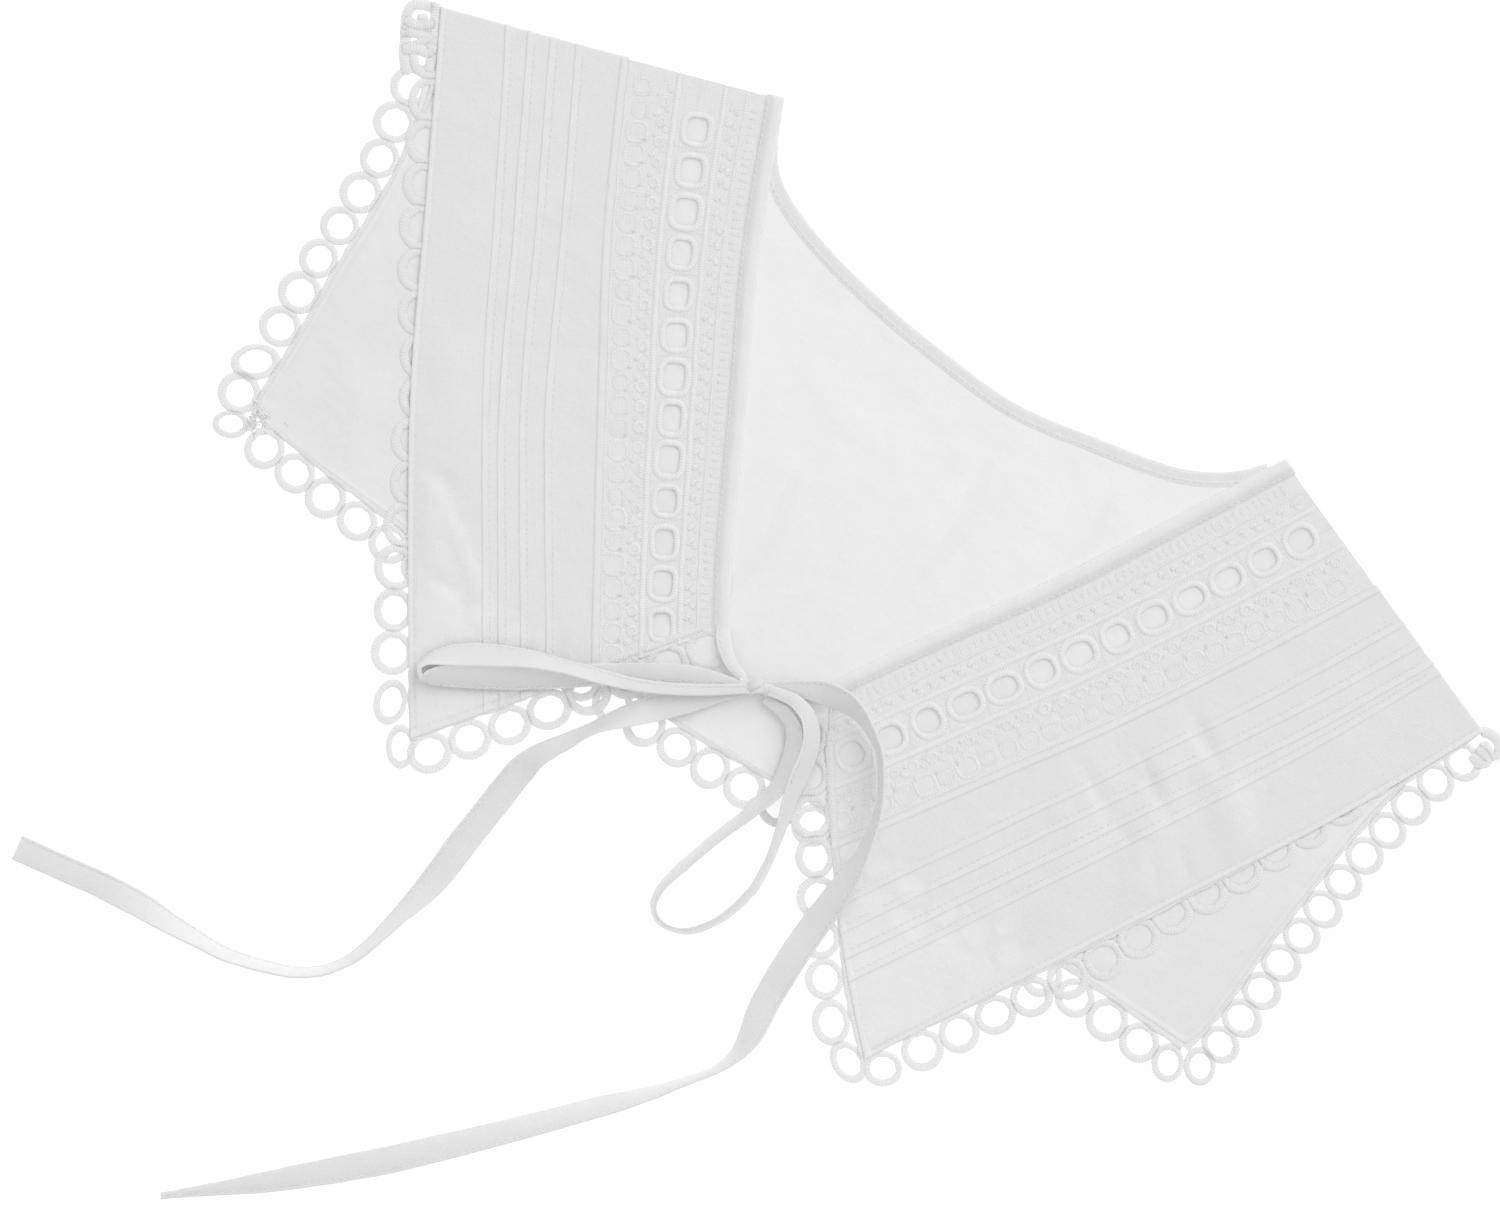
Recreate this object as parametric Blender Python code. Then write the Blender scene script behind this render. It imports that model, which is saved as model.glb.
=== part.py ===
"""False collar in white cotton, square-backed like a sailor collar, laid flat.

All sizes below are in millimetres, and mesh_object() turns them to metres.
+X runs across the shoulders, +Y up to the neck and +Z off the table.
The back panel lies wrong side up on the table. Both fronts are folded over
it at the shoulders and lie right side up, and the ties are tied in a bow.
"""
from math import copysign, cos, exp, hypot, pi, radians, sin

import bmesh
import bpy
from mathutils import Vector

MM = 0.001

# Cloth and seams
CLOTH = 1.0
BOUND_EDGE = 1.6
SEAM_GAP = 0.3
BACK_BINDING_WIDTH = 4.3
NECK_BINDING_WIDTH = 6.3

# How a front lies on the back, rolls over the shoulder and drops to the table
LAYER_LIFT = CLOTH + 0.35
SHOULDER_ROLL = 3.2
DROP_START = 16.0
DROP_LENGTH = 18.0

# Pintucks, each a raised fold with its edge towards the hem. A row for each,
# with its distance from the hem at the lower edge, at TUCK_MIDDLE of the way up
# and at the shoulder.
TUCKS_FROM_HEM = {
    "left": (
        (25.9, 24.4, 22.4), (31.5, 29.7, 30.2), (39.0, 36.7, 37.9), (47.9, 45.1, 46.8),
    ),
    "right": (
        (26.0, 24.1, 23.8), (33.6, 31.1, 28.0), (42.3, 39.2, 35.6), (51.2, 47.4, 44.3),
    ),
}
TUCK_MIDDLE = 0.4
TUCK_WIDTH = 2.4
TUCK_RISE = 0.9

# Lace insertion: a row of open rounded links down its middle. LINK_CENTRE is the
# row's place as a share of the band's width.
LINK_PITCH = 13.8
LINK_HOLE_ACROSS = 6.8
LINK_HOLE_ALONG = 8.4
LINK_CENTRE = 0.48
LINK_START = 8.6
LINK_SIDES = 10

# Ring edging
RING_RADIUS = 6.8
RING_CORD = 2.2
RING_HOLE_SIDES = 10
RING_ARC_STEPS = 4
RING_JOIN_ANGLE = 78.0
RING_END_ANGLE = 130.0
END_HEADER = 3.5

# Ties
TIE_THICKNESS = 1.0
TIE_STEP = 5.5
KNOT_CENTRE = (1.0, -43.0, 4.7)
KNOT_RADII = (4.2, 4.2, 3.3)

# Back panel: columns are x, y. The edges run down the left side, along the
# bottom and up the right side, the neckline from the left shoulder to the right.
BACK_LEFT_EDGE = (
    (-212.6, 77.2), (-203.6, 54.0), (-198.4, 42.0), (-194.2, 16.0),
    (-193.0, -9.0), (-190.4, -36.0), (-189.6, -60.0), (-186.5, -64.0),
)
BACK_LOWER_EDGE = (
    (-186.5, -64.0), (-165.0, -65.9), (-8.0, -67.5), (19.0, -65.5),
    (43.0, -62.7), (158.0, -59.4), (172.8, -59.0), (186.5, -58.6),
)
BACK_RIGHT_EDGE = (
    (186.5, -58.6), (189.4, -48.0), (190.0, -14.0), (191.3, 11.0),
    (192.8, 35.0), (194.6, 47.0), (199.4, 60.0), (206.6, 77.8),
)
NECKLINE = (
    (-100.8, 117.8), (-97.5, 110.5), (-90.2, 101.3), (-78.0, 95.0), (-59.9, 90.0),
    (-41.3, 87.0), (-20.0, 84.8), (12.0, 83.6), (30.3, 86.1), (43.8, 89.4),
    (61.7, 93.6), (75.4, 97.8), (85.6, 103.4), (92.6, 109.2), (97.8, 115.6),
)

# Fronts: a row for each section from the lower edge up to the shoulder fold.
# Columns are neck edge x, y, hem edge x, y, the lace seam's distance from the
# neck edge and how far the section's middle bows out.
FRONT_SECTIONS = {
    "left": (
        (-17.5, -31.5, -83.4, -123.4, 47.0, 0.0),
        (-32.0, -8.7, -108.8, -88.2, 45.6, 0.0),
        (-56.4, 33.9, -148.6, -30.2, 47.7, 0.0),
        (-81.3, 77.0, -182.0, 26.6, 50.5, 0.0),
        (-103.2, 122.6, -214.6, 81.9, 54.3, 0.0),
    ),
    "right": (
        (20.6, -27.0, 102.0, -124.0, 54.0, 5.0),
        (41.0, 9.0, 131.0, -69.4, 52.5, 2.0),
        (63.0, 46.0, 158.6, -17.5, 52.0, 0.0),
        (83.0, 84.0, 185.4, 33.6, 52.2, 0.0),
        (101.5, 120.0, 208.0, 83.2, 52.5, 0.0),
    ),
}
SECTION_ROWS = 13

# Soft folds of the fronts: columns are x, y at one end, x, y at the other,
# half width and height. They die out at the hem, within FOLD_FADE.
FOLD_FADE = 9.0
SOFT_FOLDS = (
    (-137.0, -40.0, -104.0, -84.0, 8.0, 1.5),
    (-150.0, -8.0, -123.0, -36.0, 7.0, 0.9),
    (130.0, 20.0, 145.0, -30.0, 7.0, 1.6),
    (141.0, 24.0, 171.0, 2.0, 6.0, 1.3),
    (108.0, -6.0, 128.0, -44.0, 8.0, 0.8),
)

# Ring edging runs, counter-clockwise round the collar. Columns are the front it
# hangs from, rings, how far the first and the last ring are squashed along and
# across the edge, and points on the line through the rings' centres.
EDGING_RUNS = {
    "back_left_edging": (None, 12, (1.0, 1.0), (0.62, 0.9), (
        (-216.0, 66.0), (-210.8, 54.2), (-205.9, 42.0), (-202.8, 28.0),
        (-201.3, 10.0), (-200.6, -9.0), (-198.6, -29.0), (-197.5, -46.0),
        (-196.8, -60.4), (-193.6, -71.6),
    )),
    "back_lower_edging": (None, 29, (1.0, 1.0), (0.8, 0.9), (
        (-178.7, -72.2), (-150.0, -74.0), (-112.0, -74.7), (-76.0, -75.2),
        (-42.0, -75.3), (-8.0, -74.9), (19.0, -72.8), (43.0, -70.3),
        (81.0, -69.2), (120.0, -68.1), (152.0, -67.2), (185.4, -67.2),
    )),
    "back_right_edging": (None, 13, (0.55, 0.9), (1.0, 1.0), (
        (194.8, -60.4), (196.9, -49.9), (197.5, -32.0), (197.6, -13.9),
        (198.6, 5.0), (199.5, 23.7), (201.7, 46.9), (206.0, 60.0), (211.0, 72.0),
    )),
    "front_left_side_edging": ("left", 17, (1.0, 1.0), (1.0, 0.6), (
        (-209.4, 66.2), (-194.8, 40.0), (-171.8, 1.8), (-146.0, -40.4),
        (-119.9, -81.8), (-98.6, -113.8), (-89.0, -126.8),
    )),
    "front_left_lower_edging": ("left", 8, (1.0, 1.0), (1.0, 1.0), (
        (-75.2, -123.5), (-57.8, -99.6), (-38.6, -70.0), (-19.1, -42.1),
    )),
    "front_right_lower_edging": ("right", 9, (1.0, 1.0), (1.0, 0.6), (
        (24.0, -46.4), (37.0, -63.4), (50.0, -79.2), (75.0, -109.4), (95.0, -128.6),
    )),
    "front_right_side_edging": ("right", 17, (1.0, 1.0), (1.0, 1.0), (
        (109.5, -122.2), (122.4, -100.0), (142.0, -64.0), (161.2, -28.2),
        (175.4, 0.0), (190.9, 34.4), (206.3, 71.2),
    )),
}

# Ties: columns are x, y, height of the lower edge, tilt in degrees (90 stands
# on edge, with the left edge up) and width.
TIE_ROUTES = {
    "tie_lead_left": (
        (-18.6, -34.4, 2.75, 0, 5.6), (-14.3, -36.7, 2.8, 0, 5.4),
        (-10.0, -39.6, 2.9, 0, 4.6), (-6.5, -41.4, 3.1, 0, 3.8),
        (-3.9, -42.3, 3.3, 0, 3.4),
    ),
    "tie_lead_right": (
        (21.8, -29.9, 1.4, 0, 5.6), (17.4, -31.9, 1.35, 0, 5.4),
        (12.9, -34.6, 1.5, 0, 4.8), (8.6, -37.8, 1.9, 0, 4.2),
        (4.9, -40.4, 2.2, 0, 4.0),
    ),
    "tie_tail_left": (
        (-2.6, -47.0, 2.7, 0, 4.4), (-7.5, -52.0, 2.8, 0, 5.4),
        (-12.0, -57.0, 2.8, 0, 7.0), (-16.4, -61.6, 2.8, 3, 8.2),
        (-21.8, -67.4, 2.8, 6, 9.0), (-27.5, -74.2, 2.6, 36, 9.6),
        (-34.9, -84.2, 1.5, 66, 10.0), (-40.1, -93.6, 0.3, 58, 10.0),
        (-45.3, -103.2, 0.3, 42, 10.0), (-47.3, -112.0, 0.3, 12, 10.0),
        (-48.2, -125.8, 0.3, 4, 10.0), (-49.1, -140.5, 0.3, 4, 10.0),
        (-49.8, -157.0, 0.3, 20, 10.0), (-52.4, -172.8, 0.3, 54, 10.0),
        (-57.6, -194.7, 0.3, 70, 10.0), (-68.9, -207.9, 0.3, 71, 10.0),
        (-90.1, -216.4, 0.3, 66, 10.0), (-102.3, -218.2, 0.3, 60, 10.0),
        (-114.9, -219.4, 0.3, 46, 10.0), (-124.5, -220.0, 0.3, 28, 9.6),
        (-140.4, -222.2, 0.3, 4, 9.0), (-152.3, -224.6, 0.3, 2, 8.8),
        (-170.0, -228.0, 0.3, 0, 8.8),
    ),
    "tie_tail_right": (
        (5.2, -40.2, 3.6, 4, 4.2), (9.6, -37.2, 3.5, 8, 5.0),
        (15.1, -34.2, 3.4, 16, 7.0), (21.6, -31.4, 3.5, 28, 9.0),
        (28.3, -30.1, 3.6, 45, 10.0), (34.9, -30.8, 3.6, 62, 10.0),
        (42.0, -34.0, 3.4, 74, 10.0), (48.5, -38.7, 3.4, 78, 10.0),
        (57.3, -51.7, 3.4, 78, 10.0), (62.0, -68.6, 3.3, 64, 10.0),
        (62.8, -86.0, 2.6, 26, 10.0), (62.6, -98.0, 1.5, 8, 10.0),
        (62.8, -112.0, 1.3, 4, 10.0), (64.0, -127.5, 0.4, 10, 10.0),
        (65.9, -138.0, 0.3, 34, 10.0), (66.0, -146.0, 0.3, 60, 10.0),
        (63.0, -155.2, 0.3, 78, 10.0), (54.9, -166.9, 0.3, 74, 10.0),
        (49.7, -174.0, 0.3, 66, 10.0), (38.6, -187.3, 0.3, 50, 10.0),
        (16.4, -213.6, 0.3, 38, 10.0), (-6.1, -239.2, 0.3, 18, 9.6),
        (-18.0, -251.7, 0.3, 10, 9.2), (-29.9, -263.7, 0.3, 8, 8.2),
        (-42.0, -275.5, 0.3, 4, 6.4), (-54.4, -286.8, 0.3, 2, 3.8),
        (-64.1, -295.7, 0.3, 0, 2.6),
    ),
    "tie_loop_left": (
        (-3.0, -46.2, 6.3, 0, 3.6), (-8.1, -50.6, 6.2, 4, 3.8),
        (-13.8, -55.2, 6.1, 8, 4.0), (-23.6, -61.2, 6.2, 12, 4.2),
        (-31.5, -64.0, 6.3, 14, 4.8), (-38.5, -65.6, 6.3, 14, 5.8),
        (-46.5, -67.6, 5.0, 24, 7.6), (-54.4, -71.0, 3.8, 38, 9.4),
        (-62.0, -75.2, 3.6, 42, 10.0), (-79.4, -85.6, 3.3, 44, 10.0),
        (-87.6, -91.0, 3.1, 56, 10.0), (-92.4, -95.4, 3.1, 74, 10.0),
        (-94.6, -99.4, 3.1, 84, 10.0), (-94.0, -102.9, 3.1, 84, 10.0),
        (-90.6, -104.2, 3.1, 80, 10.0), (-85.6, -102.2, 3.2, 62, 10.0),
        (-77.7, -97.0, 3.3, 46, 10.0), (-61.4, -85.2, 3.3, 36, 10.0),
        (-53.4, -79.0, 3.3, 26, 9.6), (-45.6, -72.9, 3.2, 14, 8.8),
        (-37.7, -66.6, 3.1, 8, 8.0), (-29.9, -60.3, 3.3, 10, 7.2),
        (-21.7, -54.6, 3.9, 12, 6.4), (-14.3, -50.0, 4.3, 8, 5.4),
        (-8.4, -47.3, 4.7, 4, 4.4), (-3.8, -45.5, 4.8, 0, 3.8),
    ),
    "tie_loop_down": (
        (5.7, -44.2, 2.8, 0, 3.6), (9.0, -44.4, 2.7, 20, 4.2),
        (13.3, -45.6, 2.7, 45, 5.6), (17.7, -49.2, 2.7, 60, 7.6),
        (21.3, -55.2, 2.7, 68, 9.2), (24.2, -62.8, 2.7, 70, 10.0),
        (24.6, -70.2, 2.1, 70, 10.0), (22.7, -79.6, 1.3, 70, 10.0),
        (18.6, -93.0, 0.3, 70, 10.0), (15.0, -107.0, 0.3, 72, 10.0),
        (13.5, -116.0, 0.3, 76, 10.0), (14.9, -122.3, 0.3, 80, 10.0),
        (20.0, -125.6, 0.3, 80, 10.0), (27.3, -123.8, 0.3, 78, 10.0),
        (32.5, -118.7, 0.3, 76, 10.0), (36.6, -110.6, 0.3, 74, 10.0),
        (38.8, -100.0, 0.5, 74, 10.0), (38.5, -91.8, 1.0, 74, 10.0),
        (36.8, -83.6, 1.9, 74, 10.0), (34.3, -74.7, 2.7, 70, 10.0),
        (31.8, -67.1, 2.8, 62, 10.0), (29.9, -59.1, 3.0, 54, 10.0),
        (28.3, -51.7, 3.4, 50, 9.2), (25.4, -45.4, 4.2, 46, 8.0),
        (20.7, -41.0, 5.2, 36, 6.4), (14.7, -39.4, 5.6, 18, 5.0),
        (9.6, -40.2, 5.6, 6, 4.0), (5.4, -41.4, 5.6, 0, 3.6),
    ),
}

# Finishes: sRGB colour as seen in the photograph, and roughness
FINISHES = {
    "cotton": ((0.90, 0.90, 0.90), 0.90),
    "lace": ((0.89, 0.89, 0.90), 0.85),
    "tie": ((0.87, 0.87, 0.88), 0.80),
}


# Lines in the plane

def smooth_line(rows, step):
    """Points of a smooth curve through the rows, about one every step."""
    rows = [Vector(row) for row in rows]
    line = []
    for i in range(len(rows) - 1):
        before = rows[max(i - 1, 0)]
        start, end = rows[i], rows[i + 1]
        after = rows[min(i + 2, len(rows) - 1)]
        pieces = max(1, round((end - start).length / step))
        for k in range(pieces):
            t = k / pieces
            line.append(0.5 * (2.0 * start + (end - before) * t
                               + (2.0 * before - 5.0 * start + 4.0 * end - after) * t ** 2
                               + (3.0 * start - before - 3.0 * end + after) * t ** 3))
    line.append(rows[-1])
    return line


def tangent(line, i):
    """Unit direction of a line at its point i, in the plane."""
    step = line[min(i + 1, len(line) - 1)] - line[max(i - 1, 0)]
    return Vector((step[0], step[1])).normalized()


def right_of(direction):
    """The unit vector to the right of a direction."""
    return Vector((direction[1], -direction[0]))


def moved_out(line, distance):
    """The line moved to its right by a distance."""
    return [Vector((p[0], p[1])) + right_of(tangent(line, i)) * distance
            for i, p in enumerate(line)]


def length_along(line):
    """Distance from the line's start to each of its points."""
    sums = [0.0]
    for a, b in zip(line, line[1:]):
        sums.append(sums[-1] + (b - a).length)
    return sums


def place_along(line, sums, distance):
    """Point and direction at a distance from the line's start."""
    i = 1
    while i < len(sums) - 1 and sums[i] < distance:
        i += 1
    a, b = line[i - 1], line[i]
    t = (distance - sums[i - 1]) / (sums[i] - sums[i - 1])
    return a.lerp(b, t), (b - a).normalized()


def ease(t):
    """0 below 0, 1 above 1 and a smooth step between."""
    t = min(max(t, 0.0), 1.0)
    return t * t * (3.0 - 2.0 * t)


def off_segment(x, y, a, b):
    """Distance from a point to the segment a-b, and where along it."""
    dx, dy = b[0] - a[0], b[1] - a[1]
    t = ((x - a[0]) * dx + (y - a[1]) * dy) / (dx * dx + dy * dy)
    t = min(max(t, 0.0), 1.0)
    return hypot(x - a[0] - t * dx, y - a[1] - t * dy), t


# Outline of the back panel, counter-clockwise from the left shoulder

NECK_LINE = smooth_line(NECKLINE, 9.0)
PANEL_NECK = moved_out(NECK_LINE, BACK_BINDING_WIDTH + SEAM_GAP)
BACK_OUTLINE = (
    smooth_line(BACK_LEFT_EDGE, 12.0)[:-1]
    + smooth_line(BACK_LOWER_EDGE, 25.0)[:-1]
    + smooth_line(BACK_RIGHT_EDGE, 12.0)
    + PANEL_NECK[::-1]
)


def outside_back(x, y):
    """Distance outside the back panel's outline, negative within it."""
    nearest = 1e9
    inside = False
    for a, b in zip(BACK_OUTLINE, BACK_OUTLINE[1:] + BACK_OUTLINE[:1]):
        nearest = min(nearest, off_segment(x, y, a, b)[0])
        if (a[1] > y) != (b[1] > y):
            if x < (b[0] - a[0]) * (y - a[1]) / (b[1] - a[1]) + a[0]:
                inside = not inside
    return -nearest if inside else nearest


def from_fold(side, x, y):
    """Distance from a front's shoulder fold, towards its lower edge."""
    neck_x, neck_y, hem_x, hem_y = FRONT_SECTIONS[side][-1][0:4]
    run = Vector((hem_x - neck_x, hem_y - neck_y)).normalized()
    inward = right_of(run) if side == "right" else -right_of(run)
    return (x - neck_x) * inward[0] + (y - neck_y) * inward[1]


def folds(x, y):
    """Height of the soft folds at a point."""
    height = 0.0
    for x0, y0, x1, y1, half_width, rise in SOFT_FOLDS:
        away, t = off_segment(x, y, (x0, y0), (x1, y1))
        height += rise * (0.35 + 0.65 * sin(pi * t)) * exp(-(away / half_width) ** 2)
    return height


def underside(side, x, y, from_hem=0.0):
    """Height of a front's underside: over the back, at the fold or dropped."""
    level = LAYER_LIFT * (1.0 - ease((outside_back(x, y) - DROP_START) / DROP_LENGTH))
    roll = sin(0.5 * pi * min(max(from_fold(side, x, y) / SHOULDER_ROLL, 0.0), 1.0))
    return (level + folds(x, y) * ease(from_hem / FOLD_FADE)) * roll


# Objects

def clear_scene():
    """Remove what the open file holds."""
    for obj in list(bpy.data.objects):
        bpy.data.objects.remove(obj, do_unlink=True)


def collection(name):
    """A new collection in the scene."""
    found = bpy.data.collections.new(name)
    bpy.context.scene.collection.children.link(found)
    return found


def finish_material(name):
    """Principled material of one of the finishes."""
    colour, roughness = FINISHES[name]
    material = bpy.data.materials.new(name)
    material.use_nodes = True
    shader = material.node_tree.nodes["Principled BSDF"]
    shader.inputs["Base Color"].default_value = (*(c ** 2.2 for c in colour), 1.0)
    shader.inputs["Roughness"].default_value = roughness
    shader.inputs["Metallic"].default_value = 0.0
    return material


def mesh_object(name, bm, group, material=None):
    """Turn a bmesh in millimetres into a named object in metres."""
    bmesh.ops.scale(bm, vec=(MM, MM, MM), verts=bm.verts)
    bmesh.ops.recalc_face_normals(bm, faces=bm.faces)
    mesh = bpy.data.meshes.new(name)
    bm.to_mesh(mesh)
    bm.free()
    if material:
        mesh.materials.append(material)
    obj = bpy.data.objects.new(name, mesh)
    group.objects.link(obj)
    return obj


def flat_plate(outlines, low, thickness):
    """Bmesh of a flat plate from closed outlines; inner ones are holes."""
    curve = bpy.data.curves.new("plate", "CURVE")
    curve.dimensions = "2D"
    curve.fill_mode = "BOTH"
    curve.extrude = thickness / 2.0
    curve.render_resolution_u = 0
    for outline in outlines:
        spline = curve.splines.new("POLY")
        spline.points.add(len(outline) - 1)
        for point, (x, y) in zip(spline.points, outline):
            point.co = (x, y, 0.0, 1.0)
        spline.use_cyclic_u = True
    guide = bpy.data.objects.new("plate", curve)
    bpy.context.scene.collection.objects.link(guide)
    evaluated = guide.evaluated_get(bpy.context.evaluated_depsgraph_get())
    mesh = bpy.data.meshes.new_from_object(evaluated)
    bm = bmesh.new()
    bm.from_mesh(mesh)
    bmesh.ops.remove_doubles(bm, verts=bm.verts, dist=0.01)
    bmesh.ops.triangulate(bm, faces=bm.faces)
    bm.normal_update()
    flat = [f for f in bm.faces if abs(f.normal.z) > 0.5]
    inner = [e for e in bm.edges if all(abs(f.normal.z) > 0.5 for f in e.link_faces)]
    bmesh.ops.beautify_fill(bm, faces=flat, edges=inner, method="ANGLE")
    bmesh.ops.translate(bm, vec=(0.0, 0.0, low + thickness / 2.0), verts=bm.verts)
    bpy.data.objects.remove(guide, do_unlink=True)
    bpy.data.curves.remove(curve)
    bpy.data.meshes.remove(mesh)
    return bm


def wall(rows):
    """Bmesh of a closed wall from rows of (x, y, low, high) columns."""
    bm = bmesh.new()
    low = [[bm.verts.new((x, y, z)) for x, y, z, _ in row] for row in rows]
    high = [[bm.verts.new((x, y, z)) for x, y, _, z in row] for row in rows]
    last_row, last = len(rows) - 1, len(rows[0]) - 1
    for r in range(last_row):
        for c in range(last):
            bm.faces.new((high[r][c], high[r][c + 1], high[r + 1][c + 1], high[r + 1][c]))
            bm.faces.new((low[r][c], low[r + 1][c], low[r + 1][c + 1], low[r][c + 1]))
        for c in (0, last):
            bm.faces.new((low[r][c], low[r + 1][c], high[r + 1][c], high[r][c]))
    for c in range(last):
        for r in (0, last_row):
            bm.faces.new((low[r][c], low[r][c + 1], high[r][c + 1], high[r][c]))
    return bm


# Back

def make_back(group, cotton):
    """Back panel and the binding that folds over its neckline."""
    panel = flat_plate([BACK_OUTLINE], 0.0, CLOTH)
    mesh_object("back_panel", panel, group, cotton)
    inner = moved_out(NECK_LINE, BACK_BINDING_WIDTH)
    binding = flat_plate([NECK_LINE + inner[::-1]], 0.0, CLOTH)
    mesh_object("back_neck_binding", binding, group, cotton)


# Fronts

def front_sections(side):
    """Evenly eased sections from the lower edge to the shoulder fold."""
    rows = [Vector(row) for row in FRONT_SECTIONS[side]]
    fine = smooth_line(rows, 12.0)
    sums = length_along(fine)
    total = sums[-1]
    roll_stops = [SHOULDER_ROLL * share for share in (2.6, 1.0, 0.5, 0.0)]
    scale = total / (rows[-1] - rows[0]).length
    stops = [total * i / SECTION_ROWS for i in range(SECTION_ROWS)]
    stops += [total - stop * scale * 1.5 for stop in roll_stops]
    return [place_along(fine, sums, stop)[0] for stop in stops]


def across(section, from_neck):
    """Point of a section at a distance from its neck edge."""
    neck = Vector(section[0:2])
    run = Vector(section[2:4]) - neck
    share = from_neck / run.length
    return neck + run * share + right_of(run.normalized()) * (
        section[5] * 4.0 * share * (1.0 - share))


def section_width(section):
    """Width of a front at a section, from neck edge to hem."""
    return (Vector(section[2:4]) - Vector(section[0:2])).length


def front_row(side, section, columns):
    """A wall's row: columns hold the distance from the neck edge, thickness."""
    row = []
    width = section_width(section)
    for from_neck, thickness in columns:
        point = across(section, from_neck)
        low = underside(side, point[0], point[1], width - from_neck)
        row.append((point[0], point[1], low, low + thickness))
    return row


def tuck_columns(side, width, share):
    """Columns of the four tucks at a share of the way up, from the lace side."""
    columns = []
    for low, middle, top in reversed(TUCKS_FROM_HEM[side]):
        if share < TUCK_MIDDLE:
            from_hem = low + (middle - low) * share / TUCK_MIDDLE
        else:
            from_hem = middle + (top - middle) * (share - TUCK_MIDDLE) / (1.0 - TUCK_MIDDLE)
        edge = width - from_hem
        columns += [
            (edge - TUCK_WIDTH, CLOTH),
            (edge - 0.7 * TUCK_WIDTH, CLOTH + 0.8 * TUCK_RISE),
            (edge - 0.1, CLOTH + TUCK_RISE),
            (edge + 0.1, CLOTH),
        ]
    return columns


def panel_columns(side, section, share):
    """Columns of the pintucked panel at a section."""
    width = section_width(section)
    seam = section[4] + SEAM_GAP / 2.0
    tucks = tuck_columns(side, width, share)
    before = [(seam, CLOTH), (0.5 * (seam + tucks[0][0]), CLOTH)]
    hem = [(width - 14.0, CLOTH), (width - 3.2, CLOTH), (width - 2.8, CLOTH + 0.3),
           (width, CLOTH + 0.3)]
    return before + tucks + hem


def make_front(side, group, cutters, cotton, lace):
    """Neck binding, lace insertion and pintucked panel of one front."""
    sections = front_sections(side)
    binding = [front_row(side, s, [(0.0, BOUND_EDGE), (NECK_BINDING_WIDTH, BOUND_EDGE)])
               for s in sections]
    mesh_object(f"front_{side}_neck_binding", wall(binding), group, cotton)
    top = len(sections) - 1
    panel = [front_row(side, s, panel_columns(side, s, i / top))
             for i, s in enumerate(sections)]
    mesh_object(f"front_{side}_panel", wall(panel), group, cotton)
    band = []
    for s in sections:
        start = NECK_BINDING_WIDTH + SEAM_GAP
        end = s[4] - SEAM_GAP / 2.0
        columns = [(start + (end - start) * share, CLOTH) for share in (0, 0.25, 0.72, 1)]
        band.append(front_row(side, s, columns))
    insertion = mesh_object(f"front_{side}_lace", wall(band), group, lace)
    cut_links(side, insertion, sections, cutters)


def link_line(sections):
    """The line through the middle of the lace's links."""
    line = []
    for s in sections:
        start = NECK_BINDING_WIDTH
        line.append(across(s, start + (s[4] - start) * LINK_CENTRE))
    return smooth_line(line, 5.0)


def cut_links(side, insertion, sections, cutters):
    """Cut the row of open links through the lace."""
    line = link_line(sections)
    sums = length_along(line)
    count = int((sums[-1] - 1.2 * LINK_PITCH) / LINK_PITCH) + 1
    outlines = []
    for i in range(count):
        centre, along = place_along(line, sums, LINK_START + i * LINK_PITCH)
        outlines.append(link_hole(centre, along))
    cutter = mesh_object(f"links_{side}", flat_plate(outlines, -2.0, 10.0), cutters)
    cutter.hide_render = True
    cutter.display_type = "WIRE"
    boolean = insertion.modifiers.new("links", "BOOLEAN")
    boolean.operation = "DIFFERENCE"
    boolean.solver = "EXACT"
    boolean.object = cutter


def link_hole(centre, along):
    """Rounded rectangle of one link's opening."""
    side = right_of(along)
    points = []
    for k in range(LINK_SIDES):
        a = 2.0 * pi * (k + 0.5) / LINK_SIDES
        u = copysign(abs(cos(a)) ** 0.7, cos(a)) * LINK_HOLE_ALONG / 2.0
        w = copysign(abs(sin(a)) ** 0.7, sin(a)) * LINK_HOLE_ACROSS / 2.0
        points.append(centre + along * u + side * w)
    return points


# Ring edging

def ring_spots(path, count, first_along, last_along):
    """Centre, direction and half length of each ring along a path."""
    line = smooth_line(path, 4.0)
    sums = length_along(line)
    halves = [first_along] + [1.0] * (count - 2) + [last_along]
    steps = [a + b for a, b in zip(halves, halves[1:])]
    unit = sums[-1] / sum(steps)
    spots = []
    reached = 0.0
    for half, step in zip(halves, steps + [0.0]):
        centre, along = place_along(line, sums, reached * unit)
        spots.append((centre, along, half * unit - 0.05))
        reached += step
    return spots


def cloth_edge(side):
    """The cloth's outer edge that an edging hangs from, as a line of points."""
    if side is None:
        return BACK_OUTLINE[:-len(PANEL_NECK)]
    sections = front_sections(side)
    hem = [across(s, section_width(s)) for s in sections]
    width = section_width(sections[0])
    low = [across(sections[0], width * k / 8) for k in range(8)]
    return low + hem


def beside(edge, spot):
    """The point a seam's gap outside the edge that is nearest to a spot."""
    best = None
    for a, b in zip(edge, edge[1:]):
        away, t = off_segment(spot[0], spot[1], a, b)
        if best is None or away < best[0]:
            best = (away, a.lerp(b, t))
    near = best[1]
    return near + (spot - near).normalized() * SEAM_GAP


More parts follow.
